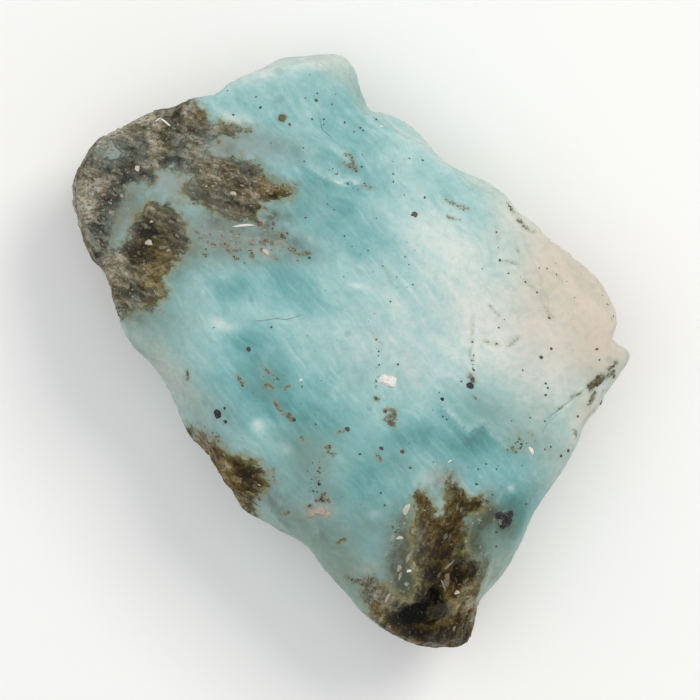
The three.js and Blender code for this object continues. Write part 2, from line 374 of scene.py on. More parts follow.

# The markings are smooth fields on the mesh, summed from soft ovals: x, y, half length, half width,
# turn in degrees and amount. In the larimar they are more blue or less, warm beige, green-grey, murky
# olive where host rock shines through, blue-grey veil, and white. The green-grey on the left and lower
# left slopes and on the sides is partly painted shade.
BLUE_SPOTS = [
    (8.5, 4.5, 7.5, 5.5, -40, -0.25), (11.0, 0.5, 6.0, 4.0, 0, -0.20), (15.5, 4.0, 6.0, 8.0, 0, -0.2),
    (14.5, -4.0, 4.0, 2.5, 45, -0.22), (7.8, 8.2, 2.2, 1.2, -35, -0.14), (3.5, -1.0, 3.0, 3.0, 0, -0.12),
    (-0.5, 10.2, 5.5, 2.0, -42, 0.18), (-5.3, 5.2, 1.8, 1.5, 0, 0.26), (-8.6, 4.6, 1.6, 1.0, 0, 0.20),
    (-7.8, 0.6, 2.0, 1.2, -20, 0.27), (0.4, 16.0, 2.4, 1.0, -30, 0.16), (-6.0, -2.8, 1.6, 2.6, 30, 0.34),
    (-2.0, -5.4, 2.6, 1.6, -20, 0.27), (5.0, 9.6, 4.5, 1.4, -40, -0.12),
    (-3.2, 8.6, 1.6, 0.8, -30, -0.12), (1.0, -9.3, 2.0, 2.6, 0, 0.18), (8.6, -7.2, 3.4, 1.5, -12, 0.36),
    (13.2, -11.2, 2.0, 1.8, 50, 0.32), (9.4, -7.2, 1.2, 0.5, -20, 0.08), (10.0, -14.0, 1.4, 1.7, 0, 0.75),
    (4.5, -6.8, 2.2, 1.2, 0, 0.16), (5.2, 3.2, 2.6, 1.8, -40, 0.14), (-8.4, 17.7, 1.6, 0.7, -12, -0.20),
    (2.5, 14.5, 3.5, 2.0, -40, -0.10), (-1.5, 2.6, 3.0, 2.4, -40, -0.07),
    (-2.0, 12.4, 2.2, 1.3, -30, 0.12), (-1.0, 18.3, 4.0, 1.4, -20, 0.08), (3.6, -9.2, 2.0, 1.8, 0, 0.16),
    (-2.6, -2.6, 2.0, 1.2, -30, 0.08), (12.8, -13.4, 1.2, 1.6, -30, 0.32),
    (-7.2, -4.0, 2.2, 3.2, 30, 0.14), (-14.0, -1.6, 1.3, 4.0, 38, -0.42),
    (10.5, -4.6, 4.2, 2.0, -20, 0.20), (10.8, -6.6, 1.8, 0.8, -20, 0.12), (-3.6, -8.2, 1.8, 2.4, 0, 0.18),
    (0.6, 13.8, 2.4, 0.9, -30, 0.26), (-3.8, 4.2, 2.2, 1.4, -30, 0.16), (-9.2, 4.2, 1.6, 1.2, 0, 0.10),
    (7.6, 13.0, 1.5, 1.0, -40, 0.08), (-1.5, 5.6, 1.2, 0.9, -40, -0.08), (8.9, -6.4, 1.1, 0.7, 0, -0.12),
    (-9.0, -2.0, 1.5, 1.5, 0, 0.12), (10.0, -9.4, 1.4, 1.0, 0, 0.08), (1.5, 4.0, 1.2, 1.0, -40, -0.07),
    (-1.5, -0.5, 1.2, 0.8, -30, -0.07), (6.2, 10.2, 2.2, 1.1, -42, -0.16),
    (2.6, 17.2, 2.4, 1.0, -42, 0.10), (-6.0, 4.6, 2.2, 1.6, 0, -0.10), (-6.8, -6.4, 1.8, 1.2, 0, -0.14),
    (-3.0, -7.2, 1.6, 1.8, 0, 0.12), (-6.0, 2.6, 1.6, 0.8, 0, -0.10), (10.5, -13.4, 0.9, 1.4, 0, 0.35),
    (12.0, -12.8, 1.0, 1.4, -20, 0.30), (-3.4, 10.4, 2.2, 1.0, -35, 0.10),
    (3.2, 12.0, 1.8, 0.9, -30, 0.12), (4.4, 15.9, 3.2, 1.3, -42, -0.18),
    (-4.5, 21.9, 4.5, 0.9, 12, -0.32), (15.8, -8.0, 1.4, 2.6, -35, -0.14),
    (-9.0, 17.4, 1.2, 0.5, -15, -0.25), (13.5, -12.4, 1.0, 1.2, 0, 0.12),
    (11.8, 10.8, 2.6, 1.2, -40, -0.08), (-10.5, 2.2, 2.8, 1.6, -20, -0.08),
    (6.2, -9.8, 1.6, 0.9, 0, -0.24), (1.6, -13.0, 3.2, 2.4, -30, 0.24), (13.2, -7.2, 1.6, 1.3, 0, 0.2),
    (3.2, -6.4, 1.2, 0.9, 0, 0.08), (-4.0, 8.0, 2.0, 1.0, -30, 0.12),
]
WARM_SPOTS = [
    (-9.1, 7.8, 0.4, 0.3, 0, 0.5), (-7.1, 7.6, 0.45, 0.3, 20, 0.6), (-6.4, 7.4, 0.35, 0.3, 0, 0.8),
    (-5.5, 8.2, 0.5, 0.3, -30, 0.6), (17.5, 6.5, 5.0, 3.2, -50, 0.7), (19.6, 2.4, 2.8, 3.2, 0, 1.05),
    (14.5, 5.5, 2.4, 4.5, 0, 0.50), (19.5, -1.5, 3.5, 2.0, 0, 0.50), (-1.0, 22.0, 2.2, 1.4, -40, 0.35),
    (14.5, 0.6, 3.5, 4.0, 0, 0.42), (-2.4, -12.4, 1.3, 0.6, 0, 0.7), (18.0, -5.0, 1.4, 1.8, -30, 0.45),
    (8.0, 2.5, 3.0, 3.0, 0, 0.12), (4.6, -1.6, 1.4, 2.0, 0, 0.1), (10.5, -17.2, 1.0, 1.4, -30, 0.3),
    (11.8, 11.0, 2.4, 1.0, -42, 0.30), (17.2, -7.4, 0.9, 2.0, -35, 0.30),
    (10.5, -17.2, 1.0, 1.2, -30, 0.3), (-14.0, -2.0, 0.8, 3.5, 38, 0.16), (18.4, -4.4, 1.2, 1.4, 0, 0.30),
    (1.8, 0.4, 2.0, 2.8, -20, 0.16), (11.0, 8.6, 1.4, 2.4, -40, 0.16), (14.8, -6.4, 1.4, 1.4, 0, 0.14),
]
# Green-grey, partly painted shade where it lies on the left and lower left slopes.
GREY_SPOTS = [
    (1.5, -8.5, 7.0, 4.5, 0, 0.12), (1.0, -3.0, 2.0, 1.6, 0, 0.10), (10.2, -6.9, 1.0, 0.6, -25, -0.18),
    (11.0, -2.2, 3.6, 1.1, 0, 0.16), (4.6, -1.8, 1.5, 1.5, 0, 0.12), (-15.7, 0.8, 2.8, 4.2, -50, 0.62),
    (-12.0, -4.5, 2.2, 4.5, 30, 0.42), (-4.5, -13.6, 5.0, 2.2, -40, 0.65),
    (12.4, -5.2, 4.0, 2.2, -15, 0.40), (-3.0, -8.2, 2.2, 2.2, 0, 0.54), (13.0, 4.0, 3.4, 2.6, 0, 0.16),
    (14.6, -4.2, 1.8, 1.2, -30, 0.2), (16.5, -8.0, 1.0, 1.0, 0, 0.2), (0.5, -18.0, 2.4, 4.0, 40, 0.85),
    (11.5, -16.2, 2.2, 3.2, -30, 0.70), (1.0, 20.0, 0.8, 2.0, 0, 0.30), (13.3, -7.0, 1.8, 1.2, -20, 0.40),
    (-3.0, 11.5, 2.4, 1.4, -30, 0.20), (10.2, -14.0, 1.4, 1.6, 0, 0.40),
    (14.8, -9.5, 1.2, 3.0, -35, 0.30), (1.5, -13.4, 3.0, 2.0, -30, 0.35), (-6.3, -2.2, 1.6, 1.8, 0, 0.25),
]
MURK_SPOTS = [
    (6.4, -10.7, 0.8, 1.0, 0, 0.45), (-16.6, 11.4, 1.2, 1.2, 0, 0.40), (-10.2, 10.0, 1.6, 0.9, 0, 0.48),
    (-13.4, 5.6, 0.8, 1.4, 0, 0.34), (4.6, -15.0, 0.8, 1.6, 0, 0.30), (9.2, -15.2, 0.8, 0.8, 0, 0.30),
    (10.5, -12.6, 0.9, 0.6, 0, 0.60), (3.0, -16.6, 1.0, 1.4, 0, 0.20), (-1.5, -12.0, 2.0, 1.4, -30, 0.12),
    (7.0, -20.2, 0.8, 0.6, 0, 0.60), (7.4, -9.4, 1.4, 0.6, 0, 0.25), (10.8, -17.6, 0.7, 1.0, -30, 0.35),
    (4.1, -16.5, 1.3, 3.0, 0, 1.0), (4.6, -18.4, 0.9, 1.0, 0, 0.45), (4.2, -12.8, 1.0, 1.3, 0, 0.36),
    (10.2, -12.9, 1.6, 1.2, 35, 0.75), (-2.0, -10.8, 1.2, 1.2, 0, 0.30), (-16.8, 2.6, 1.2, 1.0, 0, 0.50),
    (-10.0, 8.2, 2.0, 0.9, 0, 0.30), (-5.8, 10.2, 1.5, 0.9, 0, 0.65), (10.6, -10.9, 1.2, 0.8, 0, 0.35),
    (10.5, -17.1, 0.9, 1.1, 0, 1.5), (12.1, -13.6, 0.9, 1.3, 0, 0.50), (-3.8, -13.0, 3.6, 1.5, -40, 0.26),
    (-7.0, 7.1, 3.6, 0.8, -3, 0.34), (15.0, -7.9, 1.0, 1.0, 0, 0.12), (3.8, -8.8, 1.6, 1.4, 0, 0.12),
    (-0.8, -14.8, 2.4, 1.2, -40, 0.24), (-6.0, -11.0, 1.2, 0.9, -40, 0.26),
    (9.3, -15.0, 1.2, 1.3, 0, 0.55), (-6.8, 9.0, 3.4, 0.9, -10, 0.45), (-12.2, 7.2, 1.2, 1.6, 0, 0.40),
    (-5.5, 15.8, 3.2, 0.9, -20, 0.26), (-6.2, 13.0, 1.3, 0.6, -20, 0.45), (-9.2, 15.3, 0.8, 0.6, 0, 0.35),
    (-18.0, 10.4, 1.0, 2.6, -20, 0.30), (-3.1, -9.4, 1.2, 1.4, 0, 0.22),
    (-4.5, -7.0, 1.6, 0.9, -30, 0.18), (-9.6, -7.0, 2.0, 0.8, -40, 0.12),
    (-9.7, -4.9, 1.6, 1.0, -40, 0.22), (2.0, -13.6, 1.8, 1.0, 0, 0.15), (-6.2, -9.6, 1.0, 1.0, 0, 0.2),
    (-5.7, -12.4, 1.4, 0.9, -40, 0.24), (-4.2, 7.9, 1.8, 0.8, -20, 0.35), (7.2, -9.2, 1.4, 0.8, 0, 0.20),
    (10.8, -4.4, 2.0, 0.8, -20, 0.10), (1.6, -18.6, 2.2, 0.8, -40, 0.35), (9.0, -15.2, 1.0, 1.4, 0, 0.15),
    (-14.8, 2.6, 2.0, 1.2, 0, 0.22),
]
# Veil. The spot in the big hollow at the tip is part of its painted bluish highlight.
VEIL_SPOTS = [
    (-11.0, 9.5, 3.0, 3.2, 0, 0.72), (-7.5, 8.3, 3.6, 1.3, -5, 0.60), (-8.0, 15.6, 3.4, 1.4, -12, 0.75),
    (-17.4, 10.5, 1.5, 3.0, -20, 1.0), (-13.6, 12.8, 1.6, 1.4, 0, 1.0), (3.8, -17.8, 1.4, 2.2, 0, 1.0),
    (4.0, -14.5, 1.6, 2.2, 0, 0.6), (-18.7, 15.3, 1.9, 1.3, 15, 1.1), (-10.5, 15.5, 1.0, 0.7, -10, 1.0),
    (-15.9, 15.5, 0.4, 1.6, 0, 0.7), (7.1, -20.1, 0.9, 0.5, 10, 0.6), (-13.2, 15.4, 0.8, 0.5, -20, 0.5),
    (-12.6, 14.4, 0.9, 0.5, -20, 0.4), (-15.2, 4.2, 0.9, 0.5, 0, 0.4),
]
WHITE_SPOTS = [
    (-7.0, -5.7, 0.5, 0.44, 0, 0.45), (-4.9, -7.6, 0.55, 0.45, 0, 0.26), (-9.6, 1.9, 1.1, 0.4, -18, 0.34),
    (1.9, -12.6, 0.5, 0.4, 0, 0.4), (1.6, -16.8, 0.7, 0.4, 40, 0.4), (12.3, -10.6, 0.3, 0.3, 0, 0.5),
    (0.5, 4.9, 0.5, 0.15, -10, 0.35), (-13.8, 13.1, 0.7, 0.7, 0, 0.3), (9.2, 2.2, 0.35, 1.3, 10, 0.3),
    (7.9, -5.1, 0.7, 0.15, -48, 0.15), (-0.9, 12.75, 0.8, 0.1, -20, 0.4),
    (10.8, 0.4, 2.5, 0.15, -2, 0.12), (4.6, 4.6, 1.3, 0.15, -50, 0.25), (-0.6, 15.0, 1.5, 0.3, -40, 0.2),
    (3.9, 3.2, 2.0, 0.8, -48, 0.14),
]
# In the host rock they are golden brown, dark, and tan. The dark spots in and round the hollows at the tip,
# and the dark band beside the ridge on the cap, are painted shade.
GOLD_SPOTS = [
    (-14.8, 7.6, 2.2, 4.2, 10, 1.10), (3.0, -19.9, 1.2, 1.0, 0, 1.0), (5.8, -17.4, 1.4, 1.4, 0, 1.0),
    (-11.4, 18.2, 0.6, 0.8, -40, 0.8), (-5.0, 12.0, 1.0, 0.6, 0, 0.6), (-11.0, 18.6, 1.6, 0.8, -40, 0.6),
    (-9.0, 12.3, 4.0, 2.6, -20, 0.68), (-14.5, 16.2, 4.5, 1.8, 15, 0.22),
    (-19.2, 11.0, 1.6, 4.5, -10, 0.12), (-5.6, 12.2, 1.6, 0.8, 0, 0.6), (-9.0, -8.8, 3.6, 2.8, -45, 1.5),
    (8.0, -11.5, 1.8, 2.2, 0, 1.0), (5.2, -12.0, 0.9, 2.4, 0, 0.8), (6.8, -15.8, 2.6, 3.6, 0, 1.05),
    (-13.6, 8.6, 1.2, 1.5, 0, 0.5), (2.2, -18.4, 1.2, 0.9, 0, 0.2), (-14.6, 4.4, 1.0, 1.4, 0, 0.4),
    (-17.6, 5.6, 1.2, 1.6, 0, 0.4), (10.2, -11.8, 1.2, 0.8, 0, 0.5), (-9.4, 17.0, 1.2, 0.5, 0, 0.4),
    (-11.4, 11.8, 1.4, 1.0, 0, 0.4), (6.0, -20.5, 4.2, 3.0, 0, 1.3),
]
DARK_SPOTS = [
    (-15.5, 9.5, 0.7, 1.1, -20, 0.9), (-12.0, 15.2, 1.2, 1.2, 0, 0.18), (-13.4, 17.9, 0.9, 0.6, 0, 0.5),
    (-15.9, 15.6, 0.3, 1.8, 0, 0.35), (-16.6, 5.4, 0.9, 0.9, 0, 0.3), (-17.5, 8.2, 0.8, 0.8, 0, 0.5),
    (-20.5, 14.0, 0.8, 1.4, -20, 0.12), (-13.6, 8.6, 1.2, 1.2, 0, 0.2),
    (-18.4, 11.8, 0.8, 1.9, -25, 0.85), (-19.3, 8.8, 0.7, 1.2, 0, 0.75),
    (-16.9, 13.1, 1.2, 0.4, 20, 0.40), (-15.2, 8.0, 1.6, 1.0, 20, 0.30), (-16.6, 4.0, 0.9, 0.8, 0, 0.35),
    (-13.5, 14.6, 0.9, 0.6, -20, 0.40), (-16.6, 14.5, 0.8, 1.0, 0, 0.5),
    (-8.0, 14.0, 1.4, 0.5, -10, 0.20), (-8.0, -9.6, 1.4, 0.6, -50, 0.45), (4.1, -20.1, 0.8, 0.6, 30, 0.9),
    (5.3, -18.7, 0.6, 0.5, 0, 0.3), (5.2, -19.6, 1.7, 0.5, 38, 0.7), (6.9, -20.0, 0.8, 0.5, 20, -0.3),
    (-19.8, 14.9, 0.7, 0.7, 0, 0.2), (-10.5, 13.0, 1.0, 0.8, 0, 0.12), (-7.5, 13.1, 1.2, 0.8, 0, 0.32),
    (-18.0, 14.4, 0.9, 0.6, 0, 0.18), (8.6, -16.9, 0.9, 0.8, 0, 0.45), (6.3, -21.8, 2.5, 0.9, 0, 0.7),
    (6.4, -14.4, 1.8, 2.8, 0, 0.43), (6.0, -17.2, 1.2, 1.3, 0, 0.88), (8.5, -21.4, 1.2, 1.2, 0, 0.2),
    (4.6, -20.3, 1.0, 0.4, 20, 1.2), (5.2, -21.9, 0.9, 0.7, 0, 0.6), (8.2, -11.2, 1.2, 0.8, -30, 0.30),
    (-16.4, 6.0, 0.9, 1.6, 0, 0.42), (-16.6, 15.9, 0.6, 0.7, 0, 0.25), (7.6, -13.4, 0.8, 1.4, 0, 0.3),
    (3.9, -20.6, 0.9, 0.6, 0, 0.5),
]
# Tan. The spots near the cap's left rim are also painted light that lifts the shade of its slope.
TAN_SPOTS = [
    (-18.0, 5.8, 1.2, 1.8, 0, 2.5), (-15.0, 15.5, 0.6, 2.0, 0, 2.1), (-19.8, 11.8, 1.4, 1.8, 0, 2.7),
    (-15.5, 17.6, 1.8, 0.8, 10, 1.5), (-18.3, 16.5, 2.6, 0.8, 38, 1.9), (-17.6, 13.6, 1.0, 0.8, 0, 0.4),
    (4.6, -13.8, 0.8, 0.8, 0, 0.7), (6.2, -14.4, 0.8, 1.2, 0, 0.2), (8.6, -19.8, 1.1, 0.9, 0, 0.9),
    (6.0, -12.4, 0.8, 0.6, 0, 0.6), (1.9, -18.0, 0.8, 0.5, 0, 0.5), (-9.5, -10.6, 1.2, 0.8, -50, 0.5),
    (-10.2, -7.8, 1.2, 0.7, -40, 0.9), (-11.4, -6.5, 1.2, 0.6, -40, 2.2),
    (-20.2, 10.2, 0.9, 1.6, -10, 1.0), (-9.3, 17.1, 1.4, 0.5, -15, 1.6), (-15.5, 5.6, 1.2, 1.5, 0, 1.5),
    (-12.0, 18.0, 0.8, 0.9, -40, 0.7), (-6.4, 12.4, 2.4, 0.7, -10, 0.7), (-6.0, 11.5, 1.0, 0.8, 0, 1.2),
    (-9.0, -9.4, 1.0, 0.8, -45, 0.4), (-11.2, 13.0, 0.9, 0.8, 0, 0.7), (1.7, -19.9, 1.2, 0.8, -45, 1.4),
    (-14.3, 4.4, 0.8, 1.0, 0, 0.7), (9.6, -18.6, 0.6, 1.6, 0, 0.6), (-16.2, 3.6, 1.4, 0.8, 0, 0.5),
    (-8.4, -11.4, 0.8, 0.7, 0, 0.6),
]
# Rusty marks: a line and its half width, which is nothing or less where only the halo round it shows.
STAINS = [
    ([(7.4, 11.4), (8.0, 11.1), (8.9, 10.8)], 0.13), ([(7.4, 10.2), (8.0, 10.0), (8.4, 9.9)], 0.06),
    ([(-0.4, 14.95), (0.0, 14.9), (0.3, 14.3)], 0.14), ([(-0.5, 14.25), (0.0, 14.0), (0.4, 14.1)], 0.14),
    ([(0.1, 14.6), (0.2, 13.9), (0.5, 13.7)], 0.1), ([(1.1, 12.6), (1.5, 12.45)], 0.14),
    ([(-5.75, -3.9), (-5.5, -4.4), (-5.1, -4.8), (-4.6, -5.1)], 0.15),
    ([(-4.7, -5.0), (-4.4, -5.3)], 0.24), ([(2.7, -4.6), (3.4, -4.6)], 0.2),
    ([(2.8, -5.2), (3.4, -5.1)], 0.3), ([(3.0, -5.5), (3.3, -5.7)], 0.22),
    ([(13.0, 10.05), (13.3, 9.8)], 0.1), ([(13.4, 9.6), (13.8, 9.3)], 0.14),
    ([(14.0, 9.2), (14.2, 9.1)], 0.06), ([(12.3, 11.2), (12.8, 10.6)], 0.12),
    ([(-12.4, -1.6), (-12.4, -2.2)], 0.11), ([(2.0, -7.9), (2.3, -8.4)], 0.14),
    ([(-8.6, -2.0), (-8.2, -2.6)], 0.16), ([(-6.4, -1.5), (-6.2, -1.8)], 0.14),
    ([(-6.4, -2.6), (-5.9, -2.9)], 0.16), ([(-5.0, -3.0), (-4.6, -2.7)], 0.1),
    ([(-1.9, -7.4), (-1.3, -7.3)], 0.14), ([(-1.7, -7.7), (-1.3, -8.0)], 0.16),
    ([(-2.3, -8.3), (-2.4, -9.7)], 0.06), ([(-2.5, -11.5), (-1.7, -11.5)], 0.2),
    ([(-2.0, -11.0), (-2.0, -11.3)], 0.22), ([(-3.3, -11.95), (-3.0, -11.9)], 0.12),
    ([(-5.8, -9.1), (-5.8, -9.9)], 0.1), ([(-3.7, -6.7), (-3.5, -6.9)], 0.14),
    ([(9.2, -2.0), (9.4, -2.4)], 0.2), ([(9.5, -3.5), (9.8, -3.8)], 0.1),
    ([(1.9, -3.6), (2.1, -3.8)], 0.16), ([(19.3, 4.0), (20.0, 3.3)], 0.1),
    ([(18.8, 4.9), (19.0, 4.7)], 0.14), ([(20.2, 2.5), (20.6, 2.1)], 0.14),
    ([(17.3, -6.3), (17.6, -7.0)], 0.14), ([(12.3, -7.4), (12.7, -7.8)], 0.14),
    ([(12.8, -6.5), (13.0, -6.8)], 0.12), ([(13.6, -6.3), (13.9, -6.5)], 0.12),
    ([(-0.9, -14.7), (-0.4, -14.5)], 0.16), ([(-5.1, -12.5), (-4.7, -12.3)], 0.12),
    ([(-5.3, 8.9), (-5.0, 8.5)], 0.18), ([(-4.6, 7.8), (-3.9, 7.3), (-3.1, 7.4)], 0.16),
    ([(-7.6, 7.3), (-7.4, 7.1)], 0.14), ([(-9.4, 7.7), (-9.1, 7.3)], 0.1),
    ([(-6.4, 8.4), (-5.8, 8.0)], 0.14), ([(1.9, 17.8), (2.2, 17.7)], 0.14),
    ([(10.3, 0.7), (10.6, 0.55)], 0.05), ([(11.1, 0.5), (11.4, 0.4)], 0.05),
    ([(12.1, 0.3), (12.4, 0.5)], 0.05), ([(12.5, 0.6), (12.8, 0.9)], 0.06),
    ([(16.0, -4.5), (16.3, -4.3)], 0.06), ([(17.0, -3.6), (17.7, -3.3)], 0.07),
    ([(18.45, -2.9), (19.4, -2.1)], 0.3), ([(18.85, -3.3), (18.65, -3.7), (18.35, -4.2)], 0.16),
    ([(19.8, -1.6), (20.2, -1.2), (20.4, -0.9)], 0.14),
    ([(18.2, -5.5), (18.8, -4.8), (19.3, -4.2), (19.7, -3.2)], 0.05), ([(19.6, -2.1), (20.2, -1.7)], 0.2),
    ([(-10.6, 8.1), (-10.3, 8.0)], 0.12), ([(-8.9, 7.1), (-8.6, 6.95)], 0.12),
    ([(-7.7, 8.2), (-7.3, 8.0)], 0.1), ([(-9.7, 8.0), (-9.3, 7.9)], 0.1),
    ([(-11.3, 7.3), (-11.0, 7.2)], 0.1), ([(11.15, 9.4), (11.3, 8.6)], 0.02),
    ([(11.5, 6.85), (12.2, 6.75), (12.9, 6.5)], 0.0), ([(13.4, 5.3), (14.0, 4.7), (14.6, 4.1)], 0.01),
    ([(14.3, 4.3), (14.9, 3.3), (15.4, 2.4)], 0.0), ([(2.4, 6.7), (3.2, 5.1)], -0.01),
    ([(1.2, 1.7), (1.8, 1.1), (2.4, 0.4)], 0.01), ([(10.6, 3.4), (11.4, 2.6)], -0.02),
    ([(15.5, 5.9), (16.3, 5.3)], -0.02), ([(12.6, 8.2), (12.9, 7.4)], -0.02),
    ([(9.4, 2.7), (9.3, 0.2)], 0.0), ([(-0.2, 21.5), (0.1, 21.3)], 0.14),
    ([(-1.0, -6.3), (-0.5, -6.2)], 0.12), ([(-0.4, -17.2), (0.5, -17.6)], 0.12),
    ([(0.5, -17.6), (1.4, -18.1)], 0.18), ([(9.1, 0.0), (9.3, -0.9)], 0.01),
    ([(-5.2, 17.7), (-5.1, 17.8)], 0.3),
]
# Hairline cracks.
CRACKS = [
    [(-6.9, 2.2), (-5.6, 2.4), (-4.9, 2.3), (-3.9, 2.6)],
    [(17.9, -3.1), (16.4, -4.2), (15.4, -5.0)],
    [(-2.3, 17.6), (-2.1, 16.8), (-1.6, 16.4)],
]


def paint(mesh, name, values):
    """Stores one value for each point of a mesh, for its material to read."""
    attribute = mesh.attributes.new(name, "FLOAT", "POINT")
    attribute.data.foreach_set("value", values.astype(np.float32))


# How deep each point is in a rusty mark, and how far to the left of the nearest crack.
stain = np.full(len(points), -9.0)
for path, half_width in STAINS:
    stain = np.maximum(stain, half_width - to_path(xy, path)[0])
crack, crack_side = np.full(len(points), 9.0), np.ones(len(points))
for path in CRACKS:
    distance, side = to_path(xy, path)
    crack_side = np.where(distance < crack, side, crack_side)
    crack = np.minimum(crack, distance)

flank = 1 - top
rim = 1 - smoothstep(inside_widest(points)[0], 0.0, RIM_REACH)
flank_clouds = 0.12 * flank * lumps(points, 5.0, 3)
fields = {
    "host": host,
    # Less blue, so paler, towards the rim: painted light on the thin edge.
    "blue": spots(BLUE_SPOTS) + top * sheet_edge + flank_clouds - 0.14 * rim,
    "warm": spots(WARM_SPOTS),
    # Greyer on the sides: partly painted shade.
    "grey": spots(GREY_SPOTS) + 0.14 * flank,
    "murk": spots(MURK_SPOTS) * top,
    "veil": spots(VEIL_SPOTS) * top,
    "white": spots(WHITE_SPOTS) * top,
    "gold": spots(GOLD_SPOTS) + 0.3 * flank * lumps(points + 3, 4.0, 2),
    # Darker by each hollow's depth, as painted shade in the hollows, and a little darker on the sides.
    "dark": spots(DARK_SPOTS) * top + 0.1 * flank + 0.36 * hollow,
    # Lighter along the rim: painted light that lifts the shade of the rim's slope.
    "tan": spots(TAN_SPOTS) + 0.3 * rim,
    "stain": np.where(top > 0.3, stain, -9.0),
    "crack": crack * crack_side,
    "near_crack": top * (1 - smoothstep(crack, 0.2, 0.5)),
}
for name, values in fields.items():
    paint(stone.data, name, values)

# The bake map: the top, the underside and the two halves of the side lie in one flat patch each. The
# side is rolled out as strips.
SHEET = 79.0                      # millimetres across the whole map
TOP_AT, UNDER_AT = (22, 24), (62, 18)
UNDER_SHARE = 0.72                # share of its size at which the underside is laid out
STRIPS_AT = ((2, 49), (62, 63))
STRIP_LENGTH = 60.0
STRIP_MIDDLE = (-0.8, 0.8)        # the place that the side is rolled out round


def turn_round_middle(places):
    """Heading of each place from the middle that the side is rolled out round."""
    return np.arctan2(places[:, 1] - STRIP_MIDDLE[1], places[:, 0] - STRIP_MIDDLE[0])


mesh = stone.data
corners = np.empty(len(mesh.loops), int)
mesh.loops.foreach_get("vertex_index", corners)
starts = np.empty(len(mesh.polygons), int)
mesh.polygons.foreach_get("loop_start", starts)
counts = np.diff(np.append(starts, len(corners)))
corner_place = read_points(mesh)[corners]
face_middle = np.repeat(np.add.reduceat(corner_place, starts) / counts[:, None], counts, axis=0)
face_rise = np.repeat(np.add.reduceat(out[corners, 2], starts) / counts, counts)
face_turn, corner_turn = turn_round_middle(face_middle), turn_round_middle(corner_place)
corner_turn += 2 * math.pi * np.round((face_turn - corner_turn) / (2 * math.pi))
is_first, is_top, is_under = face_turn > 0, face_rise > 0.45, face_rise < -0.55
u = corner_turn / math.pi * STRIP_LENGTH + np.where(is_first, STRIPS_AT[0][0], STRIPS_AT[1][0])
u = np.where(is_under, UNDER_AT[0] - UNDER_SHARE * corner_place[:, 0], u)
u = np.where(is_top, corner_place[:, 0] + TOP_AT[0], u)
v = corner_place[:, 2] + np.where(is_first, STRIPS_AT[0][1], STRIPS_AT[1][1])
v = np.where(is_under, UNDER_SHARE * corner_place[:, 1] + UNDER_AT[1], v)
v = np.where(is_top, corner_place[:, 1] + TOP_AT[1], v)
layer = mesh.uv_layers.new(name="OFBake")
layer.data.foreach_set("uv", np.stack([u, v], axis=1).ravel() / SHEET)


# Larimar in basalt. The larimar is waxy and faintly see-through, with soft white clouds in the blue;
# the host rock over it is matt and dark, iron-stained to gold where it is thin.
def colour(hex_code):
    """An sRGB hex colour as the linear colour that a shader takes."""
    channels = [int(hex_code[i:i + 2], 16) / 255 for i in (1, 3, 5)]
    return [c / 12.92 if c <= 0.04045 else ((c + 0.055) / 1.055) ** 2.4 for c in channels] + [1.0]


def new_tree(piece, name):
    """Gives a piece a new, empty material and returns its node tree."""
    material = bpy.data.materials.new(name)
    material.use_nodes = True
    material.node_tree.nodes.clear()
    piece.data.materials.clear()
    piece.data.materials.append(material)
    return material.node_tree


def node(kind, *inputs, stops=(), **settings):
    """Adds a node to the tree in hand. Its kind may name an operation too, as in "Math ADD". Inputs come
    in order, or by name with a capital letter, and are values, sockets, or nodes whose first output is
    meant. Stops fill a colour ramp."""
    kind, _, operation = kind.partition(" ")
    made = tree.nodes.new("ShaderNode" + kind)
    if operation:
        made.operation = operation
    named = {name: settings.pop(name) for name in list(settings) if name[0].isupper()}
    for name, value in settings.items():
        setattr(made, name, value)
    live = [socket for socket in made.inputs if socket.enabled]
    pairs = list(zip(live, inputs))
    pairs += [(next(s for s in live if s.name == name.replace("_", " ")), named[name]) for name in named]
    for socket, value in pairs:
        if isinstance(value, bpy.types.Node):
            value = next(s for s in value.outputs if s.enabled)
        if isinstance(value, bpy.types.NodeSocket):
            tree.links.new(value, socket)
        else:
            socket.default_value = value
    for i, (position, hex_code) in enumerate(stops):
        element = made.color_ramp.elements[i] if i < 2 else made.color_ramp.elements.new(position)
        element.position = position
        element.color = colour(hex_code)
    return made


tree = new_tree(stone, "larimar_in_basalt")
SMOOTH = {"interpolation_type": "SMOOTHSTEP"}
COLOURS = {"data_type": "RGBA"}
# Places are in millimetres, so a pattern's scale is about how many of its grains lie in a millimetre.
place = node("VectorMath SCALE", node("TexCoord").outputs["Object"], Scale=1 / MM)
paints = {name: node("Attribute", attribute_name=name).outputs["Fac"] for name in fields}

# The blue: clouds, a fine mottle, and fibres and white wisps that run one way and bend a little.
drift = node("TexNoise", place, 0.18, 2.0)
wandering = node("VectorMath MULTIPLY_ADD", drift.outputs["Color"], (4, 4, 4), place)
along_fibres = node("Mapping", wandering, Rotation=(0, 0, FIBRE_HEADING), Scale=(3.0, 0.7, 0.7),
                    vector_type="TEXTURE")
fibre = node("TexNoise", along_fibres, 1.0, 3.0, 0.55)
clouds = node("TexNoise", place, 0.4, 3.0, 0.5, Distortion=0.3)
mottle = node("TexNoise", place, 1.9, 3.0, 0.55)
relief = node("TexNoise", place, 4.0, 5.0, 0.6)
blueness = node("Math", paints["blue"], 0.525)
for pattern, amount in ((clouds, 0.05), (fibre, 0.06), (mottle, 0.016), (relief, 0.02)):
    spread = node("MapRange", pattern, 0.3, 0.7, -amount, amount, **SMOOTH)
    blueness = node("Math ADD", blueness, spread)
bending = node("VectorMath MULTIPLY_ADD", drift.outputs["Color"], (1.2, 1.2, 1.2), place)
along_wisps = node("Mapping", bending, Rotation=(0, 0, FIBRE_HEADING), Scale=(3.0, 0.4, 0.4),
                   vector_type="TEXTURE")
